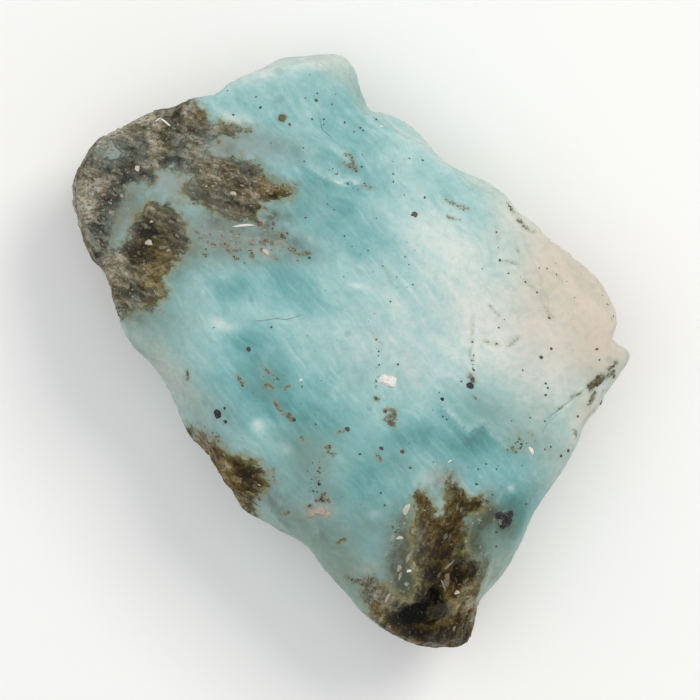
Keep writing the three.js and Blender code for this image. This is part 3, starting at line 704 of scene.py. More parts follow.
wisps = node("MapRange", node("TexNoise", along_wisps, 1.0, 5.0, 0.6), 0.5, 0.75, 0.0, 0.12, **SMOOTH)
blueness = node("Math SUBTRACT", blueness, wisps)
blueness = node("Math SUBTRACT", blueness, paints["white"], use_clamp=True)
body = node("ValToRGB", blueness, stops=[
    (0.0, "#dde4de"), (0.2, "#c6dad6"), (0.4, "#a5cbca"), (0.6, "#83b6b7"), (0.8, "#62a0a1"),
    (1.0, "#44807f")])

# Over it the beige end, grey that on the slopes is partly painted shade, the blue-grey veil, and olive murk
# where host rock lies just below.
grime = node("MapRange", mottle, 0.3, 0.7, -0.06, 0.06, **SMOOTH)
greyness_and_shade = node("Math ADD", paints["grey"], grime, use_clamp=True)
veil = node("Math ADD", paints["veil"], grime, use_clamp=True)
murkiness = node("MapRange", node("TexNoise", place, 1.2, 5.0, 0.65), 0.3, 0.7, 0.55, 1.45)
murkiness = node("Math MULTIPLY", paints["murk"], murkiness, use_clamp=True)
for share, tint in (
        (paints["warm"], "#d2c7b7"), (greyness_and_shade, "#8a9f93"), (veil, "#93a19d"), (murkiness, "#4f5644")):
    body = node("Mix", share, body, colour(tint), **COLOURS)

# Host rock: packed with pale and dark flakes that lie one way, and another way at the tip. The dark flakes
# are painted shade in the crevices.
ragged = node("TexNoise", place, 1.6, 4.0, 0.6)
warped = node("VectorMath MULTIPLY_ADD", ragged.outputs["Color"], (0.7, 0.7, 0.7), place)
towards_tip = node("VectorMath DOT_PRODUCT", place, (0.5, -1.0, 0.0))
is_tip = node("MapRange", towards_tip, 7.9, 8.1)
both_ways = [node("Mapping", warped, Rotation=(0, 0, heading), Scale=(2.8, 0.75, 0.75),
                  vector_type="TEXTURE") for heading in (SPLINTER_HEADING, TIP_HEADING)]
along_flakes = node("Mix", is_tip, *both_ways, data_type="VECTOR")
flakes = node("TexVoronoi", along_flakes, 2.2)
flake_draw = node("SeparateColor", flakes.outputs["Color"])
chips = node("TexVoronoi", warped, 3.8)
chip_draw = node("SeparateColor", chips.outputs["Color"])
# Lumps for the rock's bumps, and through its tone a painted highlight on their crests and painted shade in
# their pits.
lump_bumps_and_painted_light = node("TexNoise", along_flakes, 1.0, 6.0, 0.62)
grain = node("TexNoise", place, 6.0, 3.0, 0.6)
blotch = node("TexNoise", place, 0.6, 2.0, 0.5, Distortion=0.6)
zone = node("TexNoise", warped, 0.8, 2.0, 0.5)

# Its depth, ragged at the edges, and its tone, which the flakes, grains and blotches vary. The tone rises
# with the lumps that also make its bumps: lighter crests are painted highlight, darker pits painted shade.
host_depth = paints["host"]
for pattern, low, high, amount in (
        (ragged, 0.3, 0.7, 0.3), (flake_draw, 0.0, 1.0, 0.16), (chip_draw, 0.0, 1.0, 0.1)):
    spread = node("MapRange", pattern, low, high, -amount, amount)
    host_depth = node("Math ADD", host_depth, spread)
tone = node("MapRange", lump_bumps_and_painted_light, 0.3, 0.7, 0.2, 0.84)
for pattern, low, high, amount in (
        (blotch, 0.3, 0.7, 0.12), (flake_draw, 0.0, 1.0, 0.11), (chip_draw, 0.0, 1.0, 0.08),
        (grain, 0.3, 0.7, 0.09)):
    spread = node("MapRange", pattern, low, high, -amount, amount)
    tone = node("Math ADD", tone, spread)
# Dark spots, with the painted shade of the hollows, darken the tone; tan, with painted light on the rim,
# lightens it.
for name, amount in (("dark", -0.42), ("tan", 0.15)):
    tone = node("Math ADD", tone, node("Math MULTIPLY", paints[name], amount))

# Its colours: grey, stained to gold, and glassy and paler where larimar has soaked it.
grey_rock = node("ValToRGB", tone, stops=[
    (0.0, "#14130c"), (0.25, "#3b392f"), (0.4, "#5b5947"), (0.5, "#6e6c57"), (0.6, "#85816b"),
    (0.75, "#aaa48e"), (1.0, "#e0dac9")])
gold_rock = node("ValToRGB", tone, stops=[
    (0.0, "#070300"), (0.25, "#2f2003"), (0.4, "#4c3b0e"), (0.5, "#5f4d1a"), (0.6, "#716136"),
    (0.75, "#8e7c4e"), (1.0, "#baab84")])
glassy_rock = node("ValToRGB", tone, stops=[(0.1, "#4a514b"), (0.5, "#757f78"), (0.9, "#a3aca5")])
gold_wander = node("MapRange", zone, 0.35, 0.65, -0.35, 0.35, **SMOOTH)
goldness = node("Math ADD", paints["gold"], gold_wander, use_clamp=True)
glassy = node("MapRange", blotch, 0.5, 0.62, 0.0, 0.6, **SMOOTH)
glassy = node("Math MULTIPLY", glassy, node("Math SUBTRACT", 1.0, goldness))
veiled = node("Math MULTIPLY", paints["veil"], 0.9)
glassy = node("Math MAXIMUM", glassy, veiled, use_clamp=True)
rock = node("Mix", goldness, grey_rock, gold_rock, **COLOURS)
rock = node("Mix", glassy, rock, glassy_rock, **COLOURS)

# Some of its flakes are pale, more of them where it is tan and fewer where it is gold, and some dark: the
# dark ones are painted shade in the crevices between flakes.
flake_core = node("MapRange", flakes, 0.5, 0.3)
chip_core = node("MapRange", chips, 0.45, 0.3)
tan_share = node("Math MULTIPLY", paints["tan"], 0.1)
is_pale = 0.0
for drawn, core, rarity in ((flake_draw, flake_core, 0.8), (chip_draw, chip_core, 0.88)):
    share = node("Math ADD", drawn.outputs["Green"], tan_share)
    is_flake = node("Math MULTIPLY", node("MapRange", share, rarity, rarity + 0.1), core)
    is_pale = node("Math MAXIMUM", is_pale, is_flake)
dulled = node("MapRange", goldness, 0.0, 1.0, 0.75, 0.3)
pale_share = node("Math MULTIPLY", is_pale, dulled)
rock = node("Mix", pale_share, rock, colour("#bfb49e"), **COLOURS)
# Painted shade in the crevices, laid on as dark flakes.
is_crevice_shade = node("MapRange", flake_draw.outputs["Blue"], 0.78, 0.86)
is_crevice_shade = node("Math MULTIPLY", is_crevice_shade, flake_core)
crevice_shade_share = node("Math MULTIPLY", is_crevice_shade, 0.6)
rock = node("Mix", crevice_shade_share, rock, colour("#2b291e"), **COLOURS)

# The rock lies over the larimar, with a green-grey or golden halo round it and slivers in the murk.
halo = node("MapRange", host_depth, -0.9, 0.25, 0.0, 0.85, **SMOOTH)
halo_tint = node("Mix", goldness, colour("#7b8472"), colour("#8a7c3e"), **COLOURS)
body = node("Mix", halo, body, halo_tint, **COLOURS)
sliver = node("Math MULTIPLY", paints["murk"], 0.6, use_clamp=True)
sliver = node("Math MULTIPLY", is_pale, sliver)
body = node("Mix", sliver, body, colour("#b9b5a4"), **COLOURS)
is_rock = node("MapRange", host_depth, -0.1, 0.4, **SMOOTH)
body = node("Mix", is_rock, body, rock, **COLOURS)

# Rusty marks with a halo, a scatter of fine dark inclusions, and the hairline cracks.
stain_depth = paints["stain"]
for pattern in (grain, ragged):
    spread = node("MapRange", pattern, 0.3, 0.7, -0.09, 0.09)
    stain_depth = node("Math ADD", stain_depth, spread)
stain_tint = node("ValToRGB", node("TexNoise", place, 3.5, 3.0, 0.6), stops=[
    (0.35, "#3f382b"), (0.5, "#6c614a"), (0.65, "#8d8f78")])
stain_halo = node("MapRange", stain_depth, -0.3, 0.1, 0.0, 0.4, **SMOOTH)
body = node("Mix", stain_halo, body, colour("#8f9a80"), **COLOURS)
stain_core = node("MapRange", stain_depth, -0.06, 0.14, 0.0, 0.8, **SMOOTH)
body = node("Mix", stain_core, body, stain_tint, **COLOURS)
for per_mm, least_draw, most_radius, strength, tint in (
        (1.1, 0.7, 0.13, 0.5, "#3f5c57"), (0.55, 0.6, 0.3, 0.25, "#4c7b74")):
    dust = node("TexVoronoi", place, per_mm)
    dust_draw = node("SeparateColor", dust.outputs["Color"])
    dust_radius = node("MapRange", dust_draw, least_draw, 1.0, 0.0, most_radius)
    dust_depth = node("Math SUBTRACT", dust_radius, dust)
    is_dust = node("MapRange", dust_depth, 0.0, 0.5 * most_radius, 0.0, strength, **SMOOTH)
    body = node("Mix", is_dust, body, colour(tint), **COLOURS)
from_crack = node("Math ABSOLUTE", paints["crack"])
crack_line = node("MapRange", from_crack, 0.0, 0.05, 1.0, 0.0, **SMOOTH)
crack_line = node("Math MULTIPLY", crack_line, paints["near_crack"])
crack_share = node("Math MULTIPLY", crack_line, 0.4)
body = node("Mix", crack_share, body, colour("#5d7470"), **COLOURS)

# Fine relief: lumps, flakes and grit on the rock, less where it is glassy, and a faint grain in the wax.
rock_relief = node("Math MULTIPLY", lump_bumps_and_painted_light, 2.0)
for pattern, amount in ((flake_draw, 0.4), (chip_draw, 0.2), (is_pale, 0.5), (relief, 0.9)):
    added = node("Math MULTIPLY", pattern, amount)
    rock_relief = node("Math ADD", rock_relief, added)
evenness = node("MapRange", glassy, 0.0, 1.0, 1.0, 0.3)
rock_relief = node("Math MULTIPLY", rock_relief, evenness)
wax_relief = node("Math MULTIPLY", node("Math ADD", relief, fibre), 0.12)
bumps = node("Mix", is_rock, wax_relief, rock_relief, data_type="FLOAT")
crack_cut = node("Math MULTIPLY", crack_line, 0.15)
bumps = node("Math SUBTRACT", bumps, crack_cut)
wax_shine = node("MapRange", mottle, 0.3, 0.7, 0.44, 0.6)
rock_shine = node("MapRange", grain, 0.3, 0.7, 0.6, 0.9)
shader = node(
    "BsdfPrincipled", body,
    Roughness=node("Mix", is_rock, wax_shine, rock_shine, data_type="FLOAT"),
    Normal=node("Bump", Strength=0.9, Distance=0.3 * MM, Height=bumps),
    IOR=1.6, Specular_IOR_Level=0.25,
    Subsurface_Weight=0.12, Subsurface_Radius=(1.0, 1.0, 1.0), Subsurface_Scale=0.8 * MM)
node("OutputMaterial", shader)

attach(stone, "root")
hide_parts("larimar_stone")


# ---------------------------------------------------------------------------
# Dark grains. Small crystals of black ore and rusty brown, red and olive
# grains grew in the larimar and stand a little out of its broken face.
# ---------------------------------------------------------------------------
# The steel grey tone is a painted highlight on a facet of the big ore crystal.
BLACK, PAINTED_HIGHLIGHT, TEAL, BROWN, RED, OLIVE = 0.0, 0.12, 0.3, 0.5, 0.75, 1.0     # tones

# Crystals placed one by one: x, y, half length, half width, heading in degrees and tone.
ORE_CRYSTALS = [
    (11.85, -12.75, 0.6, 0.42, -5, BLACK), (11.4, -12.6, 0.4, 0.34, 70, BLACK),
    (12.25, -12.6, 0.42, 0.3, -80, BLACK), (11.85, -13.3, 0.75, 0.4, -82, BLACK),
    (11.55, -13.1, 0.5, 0.26, -62, PAINTED_HIGHLIGHT), (12.15, -13.1, 0.5, 0.24, 75, BLACK),
    (-10.1, -4.9, 0.46, 0.36, -35, BLACK), (-9.6, -4.45, 0.14, 0.12, 0, BLACK),
    (-9.55, -5.5, 0.20, 0.16, 0, BLACK), (9.2, -2.7, 0.36, 0.30, 20, BLACK),
    (9.35, -2.2, 0.22, 0.16, 80, BROWN), (-7.7, 0.05, 0.28, 0.18, -35, BLACK),
    (19.15, -2.3, 0.46, 0.26, 25, OLIVE), (18.55, -2.75, 0.36, 0.26, 50, OLIVE),
    (18.9, -2.65, 0.26, 0.2, 0, BROWN), (19.0, -2.0, 0.2, 0.14, 60, OLIVE),
    (20.3, -2.0, 0.24, 0.2, 40, OLIVE), (19.3, -4.0, 0.3, 0.16, 40, BROWN),
    (-5.15, 17.75, 0.36, 0.32, 0, OLIVE), (-4.6, 17.25, 0.16, 0.12, -40, OLIVE),
    (4.95, 10.35, 0.28, 0.24, 0, RED), (4.75, 10.3, 0.12, 0.1, 0, BLACK),
    (-0.2, -6.05, 0.24, 0.2, 0, BROWN), (-2.1, -11.4, 0.34, 0.2, 0, BROWN),
    (-2.35, -10.2, 0.2, 0.16, 0, BLACK), (2.0, -3.7, 0.2, 0.17, 0, OLIVE),
    (4.0, -7.75, 0.22, 0.18, 0, RED), (3.2, -5.6, 0.2, 0.16, 0, RED), (3.4, -4.9, 0.2, 0.15, 0, OLIVE),
    (2.7, -4.7, 0.2, 0.16, 0, OLIVE), (2.4, -7.5, 0.24, 0.16, 0, BROWN),
    (7.05, -3.75, 0.2, 0.15, 0, BLACK), (-4.3, -5.3, 0.24, 0.16, -40, BROWN),
    (-5.6, -4.2, 0.2, 0.12, -60, RED), (16.75, -7.7, 0.2, 0.16, 0, BROWN),
    (-12.4, -1.9, 0.32, 0.1, 85, RED), (15.25, 2.45, 0.2, 0.09, -20, RED),
    (14.6, -0.55, 0.2, 0.15, 0, BROWN),
]
# Round grains: x, y, radius and tone.
SPECKS = [
    (-6.9, 9.65, 0.27, RED), (-5.85, 9.65, 0.19, RED), (-5.9, 9.25, 0.12, BROWN),
    (-4.8, 8.9, 0.12, BROWN), (-5.2, 8.7, 0.2, BROWN), (-3.1, 7.05, 0.15, TEAL), (-10.3, 8.0, 0.1, BROWN),
    (-11.0, 7.7, 0.1, BROWN), (-8.9, 7.6, 0.1, BROWN), (-7.5, 7.4, 0.12, BROWN), (-8.5, 6.95, 0.1, BROWN),
    (-6.85, 18.55, 0.15, TEAL), (-8.95, 18.0, 0.12, TEAL), (-7.2, 19.4, 0.1, TEAL),
    (-9.4, 19.9, 0.08, TEAL), (-3.5, 14.4, 0.09, BROWN), (-3.55, 15.45, 0.09, BROWN),
    (-6.0, 1.75, 0.12, TEAL), (-2.6, 19.1, 0.18, OLIVE), (-2.5, 19.65, 0.1, TEAL),
    (-2.9, 17.65, 0.12, OLIVE), (-2.0, 17.65, 0.12, TEAL), (-0.4, 17.4, 0.12, TEAL),
    (0.8, 17.0, 0.12, TEAL), (1.0, 16.8, 0.1, TEAL), (0.3, 16.7, 0.1, TEAL), (-1.4, 18.8, 0.1, TEAL),
    (0.9, 14.0, 0.12, TEAL), (3.3, 13.45, 0.1, TEAL), (3.3, 12.85, 0.1, TEAL), (5.55, 14.5, 0.12, TEAL),
    (4.55, 14.65, 0.1, OLIVE), (5.7, 11.65, 0.13, TEAL), (-0.4, 8.7, 0.1, TEAL), (-1.2, 10.7, 0.08, TEAL),
    (-3.4, 10.1, 0.1, TEAL), (2.5, 6.4, 0.08, TEAL), (4.2, 7.1, 0.08, TEAL), (4.8, 5.0, 0.09, TEAL),
    (3.1, 3.7, 0.1, TEAL), (11.2, 9.0, 0.1, BROWN), (11.45, 6.85, 0.14, TEAL), (12.1, 5.85, 0.1, TEAL),
    (13.4, 5.2, 0.1, BROWN), (14.3, 4.4, 0.1, BROWN), (11.35, 1.7, 0.1, BROWN), (15.35, 0.1, 0.15, BROWN),
    (18.9, 0.05, 0.15, RED), (19.1, -0.75, 0.1, TEAL), (13.2, -1.55, 0.1, BROWN),
    (14.95, -2.55, 0.12, TEAL), (15.1, -2.9, 0.12, TEAL), (14.95, -3.45, 0.14, TEAL),
    (9.3, -0.8, 0.08, BROWN), (9.35, 0.6, 0.1, BROWN), (8.5, -2.4, 0.1, BROWN), (7.1, -5.1, 0.12, TEAL),
    (7.4, -5.3, 0.1, TEAL), (13.75, -5.15, 0.1, BROWN), (14.9, -5.45, 0.1, BROWN),
    (12.35, -5.4, 0.08, TEAL), (13.0, -7.5, 0.12, BROWN), (15.35, -7.4, 0.11, TEAL),
    (14.9, -7.6, 0.1, RED), (19.4, 4.2, 0.09, BROWN), (19.8, 3.5, 0.13, RED), (20.2, 2.6, 0.1, BROWN),
    (16.15, -8.1, 0.16, BROWN), (17.45, -5.1, 0.14, RED), (9.65, -10.25, 0.15, TEAL),
    (10.9, -11.05, 0.1, TEAL), (10.4, -8.7, 0.1, TEAL), (9.8, -9.1, 0.1, TEAL), (11.2, -9.1, 0.1, TEAL),
    (4.6, -9.0, 0.15, OLIVE), (2.35, -10.9, 0.12, TEAL), (2.65, -11.85, 0.12, TEAL),
    (13.5, -11.8, 0.12, TEAL), (11.2, -15.05, 0.12, BROWN), (-3.65, -2.8, 0.1, BROWN),
    (-2.6, -5.65, 0.1, TEAL), (-3.1, -11.9, 0.14, BROWN), (2.2, -0.1, 0.1, TEAL),
    (3.65, -1.1, 0.12, TEAL), (2.0, -2.4, 0.1, BROWN), (2.0, 0.8, 0.1, BROWN), (0.75, -7.95, 0.14, TEAL),
    (-4.7, -12.4, 0.16, OLIVE), (11.2, -13.95, 0.14, TEAL), (7.6, -21.4, 0.15, TEAL),
    (5.9, -21.2, 0.15, TEAL),
]
# Places strewn with fine grit: x, y, half length, half width, turn in degrees, and how many grains.
GRITTY = [
    (-7.8, 8.0, 3.6, 0.8, -8, 14), (3.6, -14.6, 0.9, 2.0, 0, 16), (1.0, -18.2, 1.6, 0.5, -40, 16),
    (-2.6, -9.8, 0.8, 1.8, 0, 18), (13.0, -7.2, 1.4, 0.7, 0, 18), (-5.8, -2.2, 1.0, 0.9, 0, 16),
    (-10.6, -6.4, 1.2, 0.5, -40, 12), (2.0, -2.0, 0.3, 2.4, 0, 14), (9.4, -1.2, 0.12, 1.8, 0, 14),
    (-9.0, 17.0, 1.8, 0.5, -20, 16), (15.6, 6.0, 0.8, 3.0, 50, 6), (18.9, -2.6, 0.7, 0.4, 40, 14),
    (20.0, -1.4, 0.5, 0.2, 50, 10), (-1.0, 13.6, 2.0, 0.6, -30, 12),
]
STAIN_SPECKS = 150                # grains in the rusty marks
FINE_SPECKS = 50                  # more in the blue, too small to place one by one

# Least and most radius of the strewn grains.
GRIT_RADIUS, STAIN_RADIUS, FINE_RADIUS = (0.04, 0.16), (0.05, 0.13), (0.04, 0.075)


def broken_grain(seed, cuts):
    """A grain about one unit in radius: a ball that is broken flat all round."""
    bpy.ops.mesh.primitive_ico_sphere_add(subdivisions=1, radius=1.15, location=(0, 0, 0))
    made = bpy.context.active_object
    bpy.ops.object.mode_set(mode="EDIT")
    draw = random.Random(seed)
    for _ in range(cuts):
        heading = Vector([draw.gauss(0, 1) for _ in range(3)]).normalized()
        bpy.ops.mesh.select_all(action="SELECT")
        bpy.ops.mesh.bisect(plane_co=heading * draw.uniform(0.6, 0.92), plane_no=heading, use_fill=True,
                            clear_outer=True)
    bpy.ops.object.mode_set(mode="OBJECT")
    return made


def set_in_stone(grain, name, settings):
    """Copies a grain to each setting on the stone and joins the copies into one piece. A setting is a
    place and a normal, half length, half width, half thickness, heading, sink and tone."""
    copies = []
    for spot, normal, length, width, thickness, heading, sink, tone in settings:
        z_axis = Vector(normal)
        x_axis = Vector((math.cos(heading), math.sin(heading), 0))
        x_axis = (x_axis - z_axis * x_axis.dot(z_axis)).normalized()
        y_axis = z_axis.cross(x_axis)
        turned = Matrix((x_axis * length, y_axis * width, z_axis * thickness)).transposed()
        placed = Matrix.Translation(Vector(spot) - z_axis * thickness * sink) @ turned.to_4x4()
        copy = bpy.data.objects.new(name, grain.data.copy())
        copy.data.transform(Matrix.Scale(MM, 4) @ placed)
        paint(copy.data, "tone", np.full(len(copy.data.vertices), tone))
        scene.collection.objects.link(copy)
        copies.append(copy)
    bpy.data.objects.remove(grain)
    bpy.ops.object.select_all(action="DESELECT")
    for copy in copies:
        copy.select_set(True)
    bpy.context.view_layer.objects.active = copies[0]
    bpy.ops.object.join()
    return bpy.context.active_object


def on_top(x, y):
    """The stone's top surface above a place, in millimetres, and its normal."""
    spot, normal, _, _ = surface.ray_cast(Vector((x, y, 30)) * MM, Vector((0, 0, -1)))
    return spot / MM, normal


points = read_points(stone.data)
out = read_normals(stone.data)
draw = random.Random(11)
settings = []
for x, y, length, width, heading, tone in ORE_CRYSTALS:
    spot, normal = on_top(x, y)
    leaning = (normal + Vector([draw.uniform(-0.3, 0.3) for _ in range(3)])).normalized()
    settings.append((spot, leaning, length, width, 0.8 * width, math.radians(heading), 0.3, tone))
for x, y, radius, tone in SPECKS:
    settings.append((*on_top(x, y), radius, 0.85 * radius, 0.5 * radius, draw.uniform(0, 6), 0.3, tone))
for x, y, length, width, turn_degrees, count in GRITTY:
    angle = math.radians(turn_degrees)
    for _ in range(count):
        along, across = draw.triangular(-1, 1) * length, draw.triangular(-1, 1) * width
        spot, normal = on_top(x + along * math.cos(angle) - across * math.sin(angle),
                              y + along * math.sin(angle) + across * math.cos(angle))
        radius = GRIT_RADIUS[0] + (GRIT_RADIUS[1] - GRIT_RADIUS[0]) * draw.random() ** 2
        settings.append((spot, normal, radius, 0.7 * radius, 0.4 * radius, draw.uniform(0, 6), 0.4,
                         draw.choice((BROWN, OLIVE, OLIVE, TEAL))))
for where, count, radii, roundness, sink, tones in (
        (stain > 0.02, STAIN_SPECKS, STAIN_RADIUS, 0.7, 0.4, (BROWN, BROWN, OLIVE, TEAL, BLACK)),
        (host < -1.2, FINE_SPECKS, FINE_RADIUS, 1.0, 0.3, (TEAL, TEAL, BROWN))):
    within = np.flatnonzero(where & (out[:, 2] > 0.7))
    for _ in range(count):
        chosen = within[draw.randrange(len(within))]
        radius = draw.uniform(*radii)
        settings.append((points[chosen], out[chosen], radius, roundness * radius, 0.5 * radius,
                         draw.uniform(0, 6), sink, draw.choice(tones)))
dark_grains = set_in_stone(broken_grain(5, 13), "dark_grains", settings)


def tones_with_dust_and_glints(tones, per_mm, detail, clean, dusty, most_dust_and_glint, dust):
    """The colour of each grain's own tone, with dust in patches where a noise is high, and that noise. For
    the dark grains those pale patches are painted highlights.
    """
    place = node("VectorMath SCALE", node("TexCoord").outputs["Object"], Scale=1 / MM)
    dust_and_glint_noise = node("TexNoise", place, per_mm, detail, 0.6)
    body = node("ValToRGB", node("Attribute", attribute_name="tone").outputs["Fac"], stops=tones)
    dust_and_glint_share = node("MapRange", dust_and_glint_noise, clean, dusty, 0.0, most_dust_and_glint, **SMOOTH)
    return node("Mix", dust_and_glint_share, body, colour(dust), **COLOURS), dust_and_glint_noise


# Ore and rusty grains: near black with a dull metal gleam on the broken faces, or earthy and matt. The pale
# grey patches, and the grey facet on the ore crystal, are painted highlights.
tree = new_tree(dark_grains, "dark_ore_grains")
body, dust_and_glint_noise = tones_with_dust_and_glints([
    # The grey stop at 0.15 is the painted highlight facet.
    (0.0, "#0d0c11"), (0.15, "#6b6a69"), (0.3, "#2b4644"), (0.5, "#43392d"), (0.75, "#6b3f30"),
    # The last colour, pale grey, lies in patches: a painted highlight.
    (1.0, "#565027")], 4.0, 3.0, 0.54, 0.7, 0.35, "#7b7d7c")
shader = node(
    "BsdfPrincipled", body, Roughness=node("MapRange", dust_and_glint_noise, 0.3, 0.7, 0.2, 0.5),
    Normal=node("Bump", Strength=0.5, Distance=0.05 * MM, Height=dust_and_glint_noise), IOR=1.6)
node("OutputMaterial", shader)
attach(dark_grains, "root")


# ---------------------------------------------------------------------------
# Pale flakes. Splinters and flat chips of white pectolite and beige calcite
# that came half loose when the stone was struck and lie on its face.
# ---------------------------------------------------------------------------
WHITE, CREAM, SAND, BEIGE, DUN = 0.0, 0.4, 0.6, 0.8, 1.0                   # tones

# Flakes placed one by one: x, y, half length, half width, heading in degrees and tone.
FLAKES = [
    (3.05, -2.4, 0.66, 0.58, -40, WHITE), (2.55, -2.2, 0.52, 0.38, 0, WHITE),
    (4.3, -12.2, 0.62, 0.3, 62, CREAM), (3.8, -14.35, 0.35, 0.16, 0, CREAM),
    (4.5, -16.9, 0.26, 0.14, 10, WHITE), (13.85, -7.7, 0.44, 0.18, -65, WHITE),
    (18.6, -3.7, 0.3, 0.14, 60, BEIGE), (7.45, -16.6, 0.9, 0.12, 56, BEIGE),
    (7.15, -18.0, 0.65, 0.12, -68, BEIGE), (7.45, -17.4, 0.8, 0.28, 78, DUN),
    (-3.0, -12.5, 0.5, 0.4, 5, SAND), (-2.3, -12.3, 0.6, 0.42, -20, SAND),
    (-1.75, -12.6, 0.4, 0.28, 40, SAND), (-8.1, 9.5, 1.0, 0.12, 2, WHITE),
    (-14.9, 17.6, 0.6, 0.1, 12, WHITE), (-14.0, 17.35, 0.75, 0.09, -38, WHITE),
    (-16.3, 13.9, 0.36, 0.26, 70, CREAM), (-15.4, 8.2, 0.4, 0.3, -20, CREAM),
    (-15.2, 9.8, 0.18, 0.12, 0, CREAM), (-11.0, 12.5, 0.15, 0.1, 0, CREAM),
    (-8.9, 11.95, 0.3, 0.18, -30, CREAM), (-3.75, -2.3, 0.18, 0.14, 0, WHITE),
    (7.6, -8.5, 0.25, 0.08, 30, WHITE), (2.4, 17.1, 0.2, 0.1, 0, WHITE),
    (8.0, -21.4, 0.26, 0.12, 80, BEIGE), (-11.6, -6.4, 0.4, 0.22, -35, BEIGE),
    (-6.4, 7.45, 0.4, 0.2, -50, CREAM), (-17.5, 6.5, 0.3, 0.25, 0, BEIGE),
    (-18.0, 6.7, 0.25, 0.2, 0, BEIGE), (-17.4, 5.6, 0.3, 0.22, 40, BEIGE),
    (-18.1, 5.3, 0.25, 0.2, 0, BEIGE), (8.2, -18.6, 0.25, 0.2, 0, CREAM),
    (2.9, -18.9, 0.5, 0.14, 60, SAND), (3.3, -19.1, 0.45, 0.12, 65, BEIGE),
    (2.2, -18.5, 0.3, 0.2, -40, BEIGE), (1.8, -18.0, 0.25, 0.18, 20, BEIGE),
]
# Where smaller flakes lie thick: x, y, half length, half width, turn in degrees, and how thick.
FLAKE_BEDS = [
    (-7.6, 7.9, 3.6, 0.9, -6, 0.8), (2.2, -18.8, 1.6, 0.7, -40, 0.8), (-20.2, 11.2, 1.0, 3.0, -10, 2.0),
    (-15.1, 15.6, 0.5, 1.8, 0, 1.4), (-18.2, 16.4, 2.4, 0.7, 38, 1.2), (-9.0, 12.8, 3.4, 1.4, -15, 0.6),
    (-17.9, 5.8, 0.8, 1.6, 0, 1.0), (9.0, -19.8, 0.8, 1.4, 0, 0.3),
]
FLAKE_COUNT = 380                 # small flakes strewn over the beds
FLAKE_SIZE = (0.08, 0.3)          # their least and most half length
TIP_BELOW = -8.0                  # at the tip, below this y, they lie the way the rock's flakes do there

draw = random.Random(23)
settings = []
bed = spots(FLAKE_BEDS) * (out[:, 2] > TOP_SLOPE)
rng = np.random.default_rng(41)
for chosen in rng.choice(len(points), FLAKE_COUNT, replace=False, p=bed / bed.sum()):
    length = rng.uniform(*FLAKE_SIZE)
    leaning = Vector(out[chosen] + rng.normal(0, 0.2, 3)).normalized()
    lie = TIP_HEADING if points[chosen, 1] < TIP_BELOW else SPLINTER_HEADING
    settings.append((points[chosen], leaning, length, rng.uniform(0.25, 0.6) * length, 0.3 * length,
                     lie + rng.normal(0, 0.4), 0.3, rng.uniform(0.65, 1.0)))
for x, y, length, width, heading, tone in FLAKES:
    spot, normal = on_top(x, y)
    leaning = (normal + Vector([draw.uniform(-0.15, 0.15) for _ in range(3)])).normalized()
    settings.append((spot, leaning, length, width, 0.3 * width + 0.06, math.radians(heading), 0.0, tone))
pale_flakes = set_in_stone(broken_grain(9, 12), "pale_flakes", settings)

# White pectolite and calcite: glassy where freshly broken, slightly see-through at the thin edges.
tree = new_tree(pale_flakes, "white_pectolite_flakes")
body, dust_and_glint_noise = tones_with_dust_and_glints([
    (0.0, "#eceae2"), (0.4, "#c6beae"), (0.8, "#857a67"), (1.0, "#6b604e")],
    5.0, 3.0, 0.45, 0.75, 0.4, "#a79f8f")
shader = node(
    "BsdfPrincipled", body, Roughness=node("MapRange", dust_and_glint_noise, 0.3, 0.7, 0.3, 0.55),
    Normal=node("Bump", Strength=0.5, Distance=0.05 * MM, Height=dust_and_glint_noise), IOR=1.6, Specular_IOR_Level=0.3,
    Subsurface_Weight=0.2, Subsurface_Radius=(1.0, 1.0, 1.0), Subsurface_Scale=0.4 * MM)
node("OutputMaterial", shader)
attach(pale_flakes, "root")


# ---------------------------------------------------------------------------
# Crumbs of host rock. Loose grains of basalt and clay cling to the rough
# brown patches, thickest where the rock is tan and broken.
# ---------------------------------------------------------------------------
CRUMB_COUNT = 1000
CRUMB_SIZE = (0.05, 0.17)         # their least and most half length

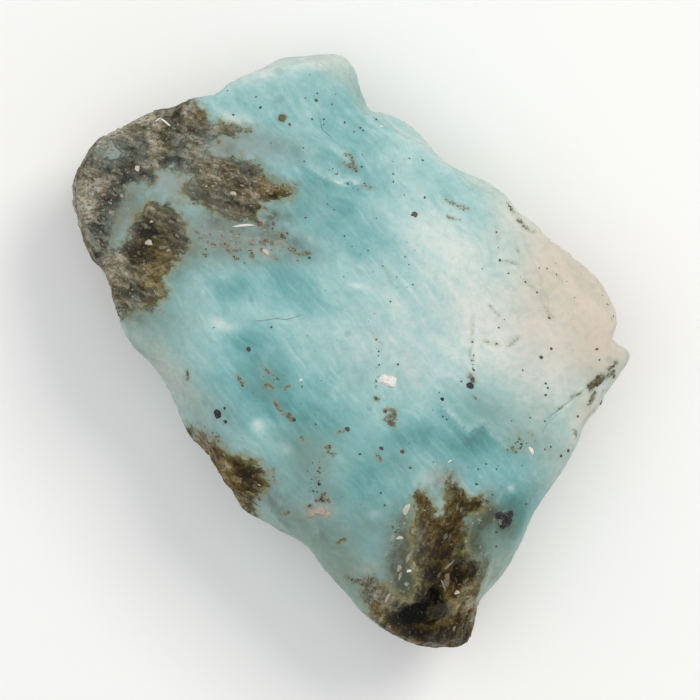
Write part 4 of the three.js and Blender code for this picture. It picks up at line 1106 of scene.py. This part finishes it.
in_rock = np.flatnonzero((host > 0.3) & (points[:, 2] > 0.8) & (hollow < 0.2))
weight = (0.25 + spots(TAN_SPOTS)[in_rock]) * np.where(out[in_rock, 2] > TOP_SLOPE, 0.2, 1.0)
rng = np.random.default_rng(31)
settings = []
for chosen in rng.choice(in_rock, CRUMB_COUNT, replace=False, p=weight / weight.sum()):
    length = rng.uniform(*CRUMB_SIZE) * rng.uniform(0.6, 1.0)
    leaning = Vector(out[chosen] + rng.normal(0, 0.25, 3)).normalized()
    settings.append((points[chosen], leaning, length, rng.uniform(0.3, 0.7) * length, 0.3 * length,
                     SPLINTER_HEADING + rng.normal(0, 0.6), 0.2, rng.uniform(0, 1)))
crumbs = set_in_stone(broken_grain(3, 11), "host_rock_crumbs", settings)

# Basalt and clay crumbs: dull and dusty, from near black to pale tan.
tree = new_tree(crumbs, "basalt_and_clay_crumbs")
body, dust_and_glint_noise = tones_with_dust_and_glints([
    (0.0, "#352e1c"), (0.3, "#574e36"), (0.6, "#786e53"), (0.85, "#998d75"), (1.0, "#c4b9a2")],
    8.0, 2.0, 0.35, 0.7, 0.4, "#6b634b")
shader = node("BsdfPrincipled", body, Roughness=node("MapRange", dust_and_glint_noise, 0.3, 0.7, 0.65, 0.9),
              Normal=node("Bump", Strength=0.6, Distance=0.04 * MM, Height=dust_and_glint_noise))
node("OutputMaterial", shader)
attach(crumbs, "root")


# ---------------------------------------------------------------------------
# Floor and light. A plain white table top in a pale room, under a wide soft
# light overhead and a smaller one from the upper right.
# ---------------------------------------------------------------------------
FLOOR_SIZE = 4.0                  # in metres, so that its edges stay out of view

bpy.ops.mesh.primitive_plane_add(size=FLOOR_SIZE, location=(0, 0, 0))
floor = bpy.context.active_object
floor.name = "table_top"
tree = new_tree(floor, "white_table_paint")
node("OutputMaterial", node("BsdfPrincipled", colour("#fbfbfa"), Roughness=0.8))


def add_panel(name, direction, distance, size, power, tint):
    """A square light panel that faces the stone from a direction."""
    data = bpy.data.lights.new(name, "AREA")
    data.size = size
    data.energy = power
    data.color = colour(tint)[:3]
    panel = bpy.data.objects.new(name, data)
    panel.location = Vector(direction).normalized() * distance
    panel.rotation_euler = panel.location.to_track_quat("Z", "Y").to_euler()
    scene.collection.objects.link(panel)


add_panel("key_panel", (0.7, 0.65, 1.0), 0.9, 0.4, 3.2, "#fffaf2")
add_panel("top_panel", (-0.25, 0.0, 1.0), 1.2, 1.2, 4.2, "#fbfdff")
scene.world = bpy.data.worlds.new("soft_room")
scene.world.use_nodes = True
room = scene.world.node_tree.nodes["Background"]
room.inputs["Color"].default_value = colour("#f6f7f8")
room.inputs["Strength"].default_value = 0.55
scene.view_settings.view_transform = "Standard"
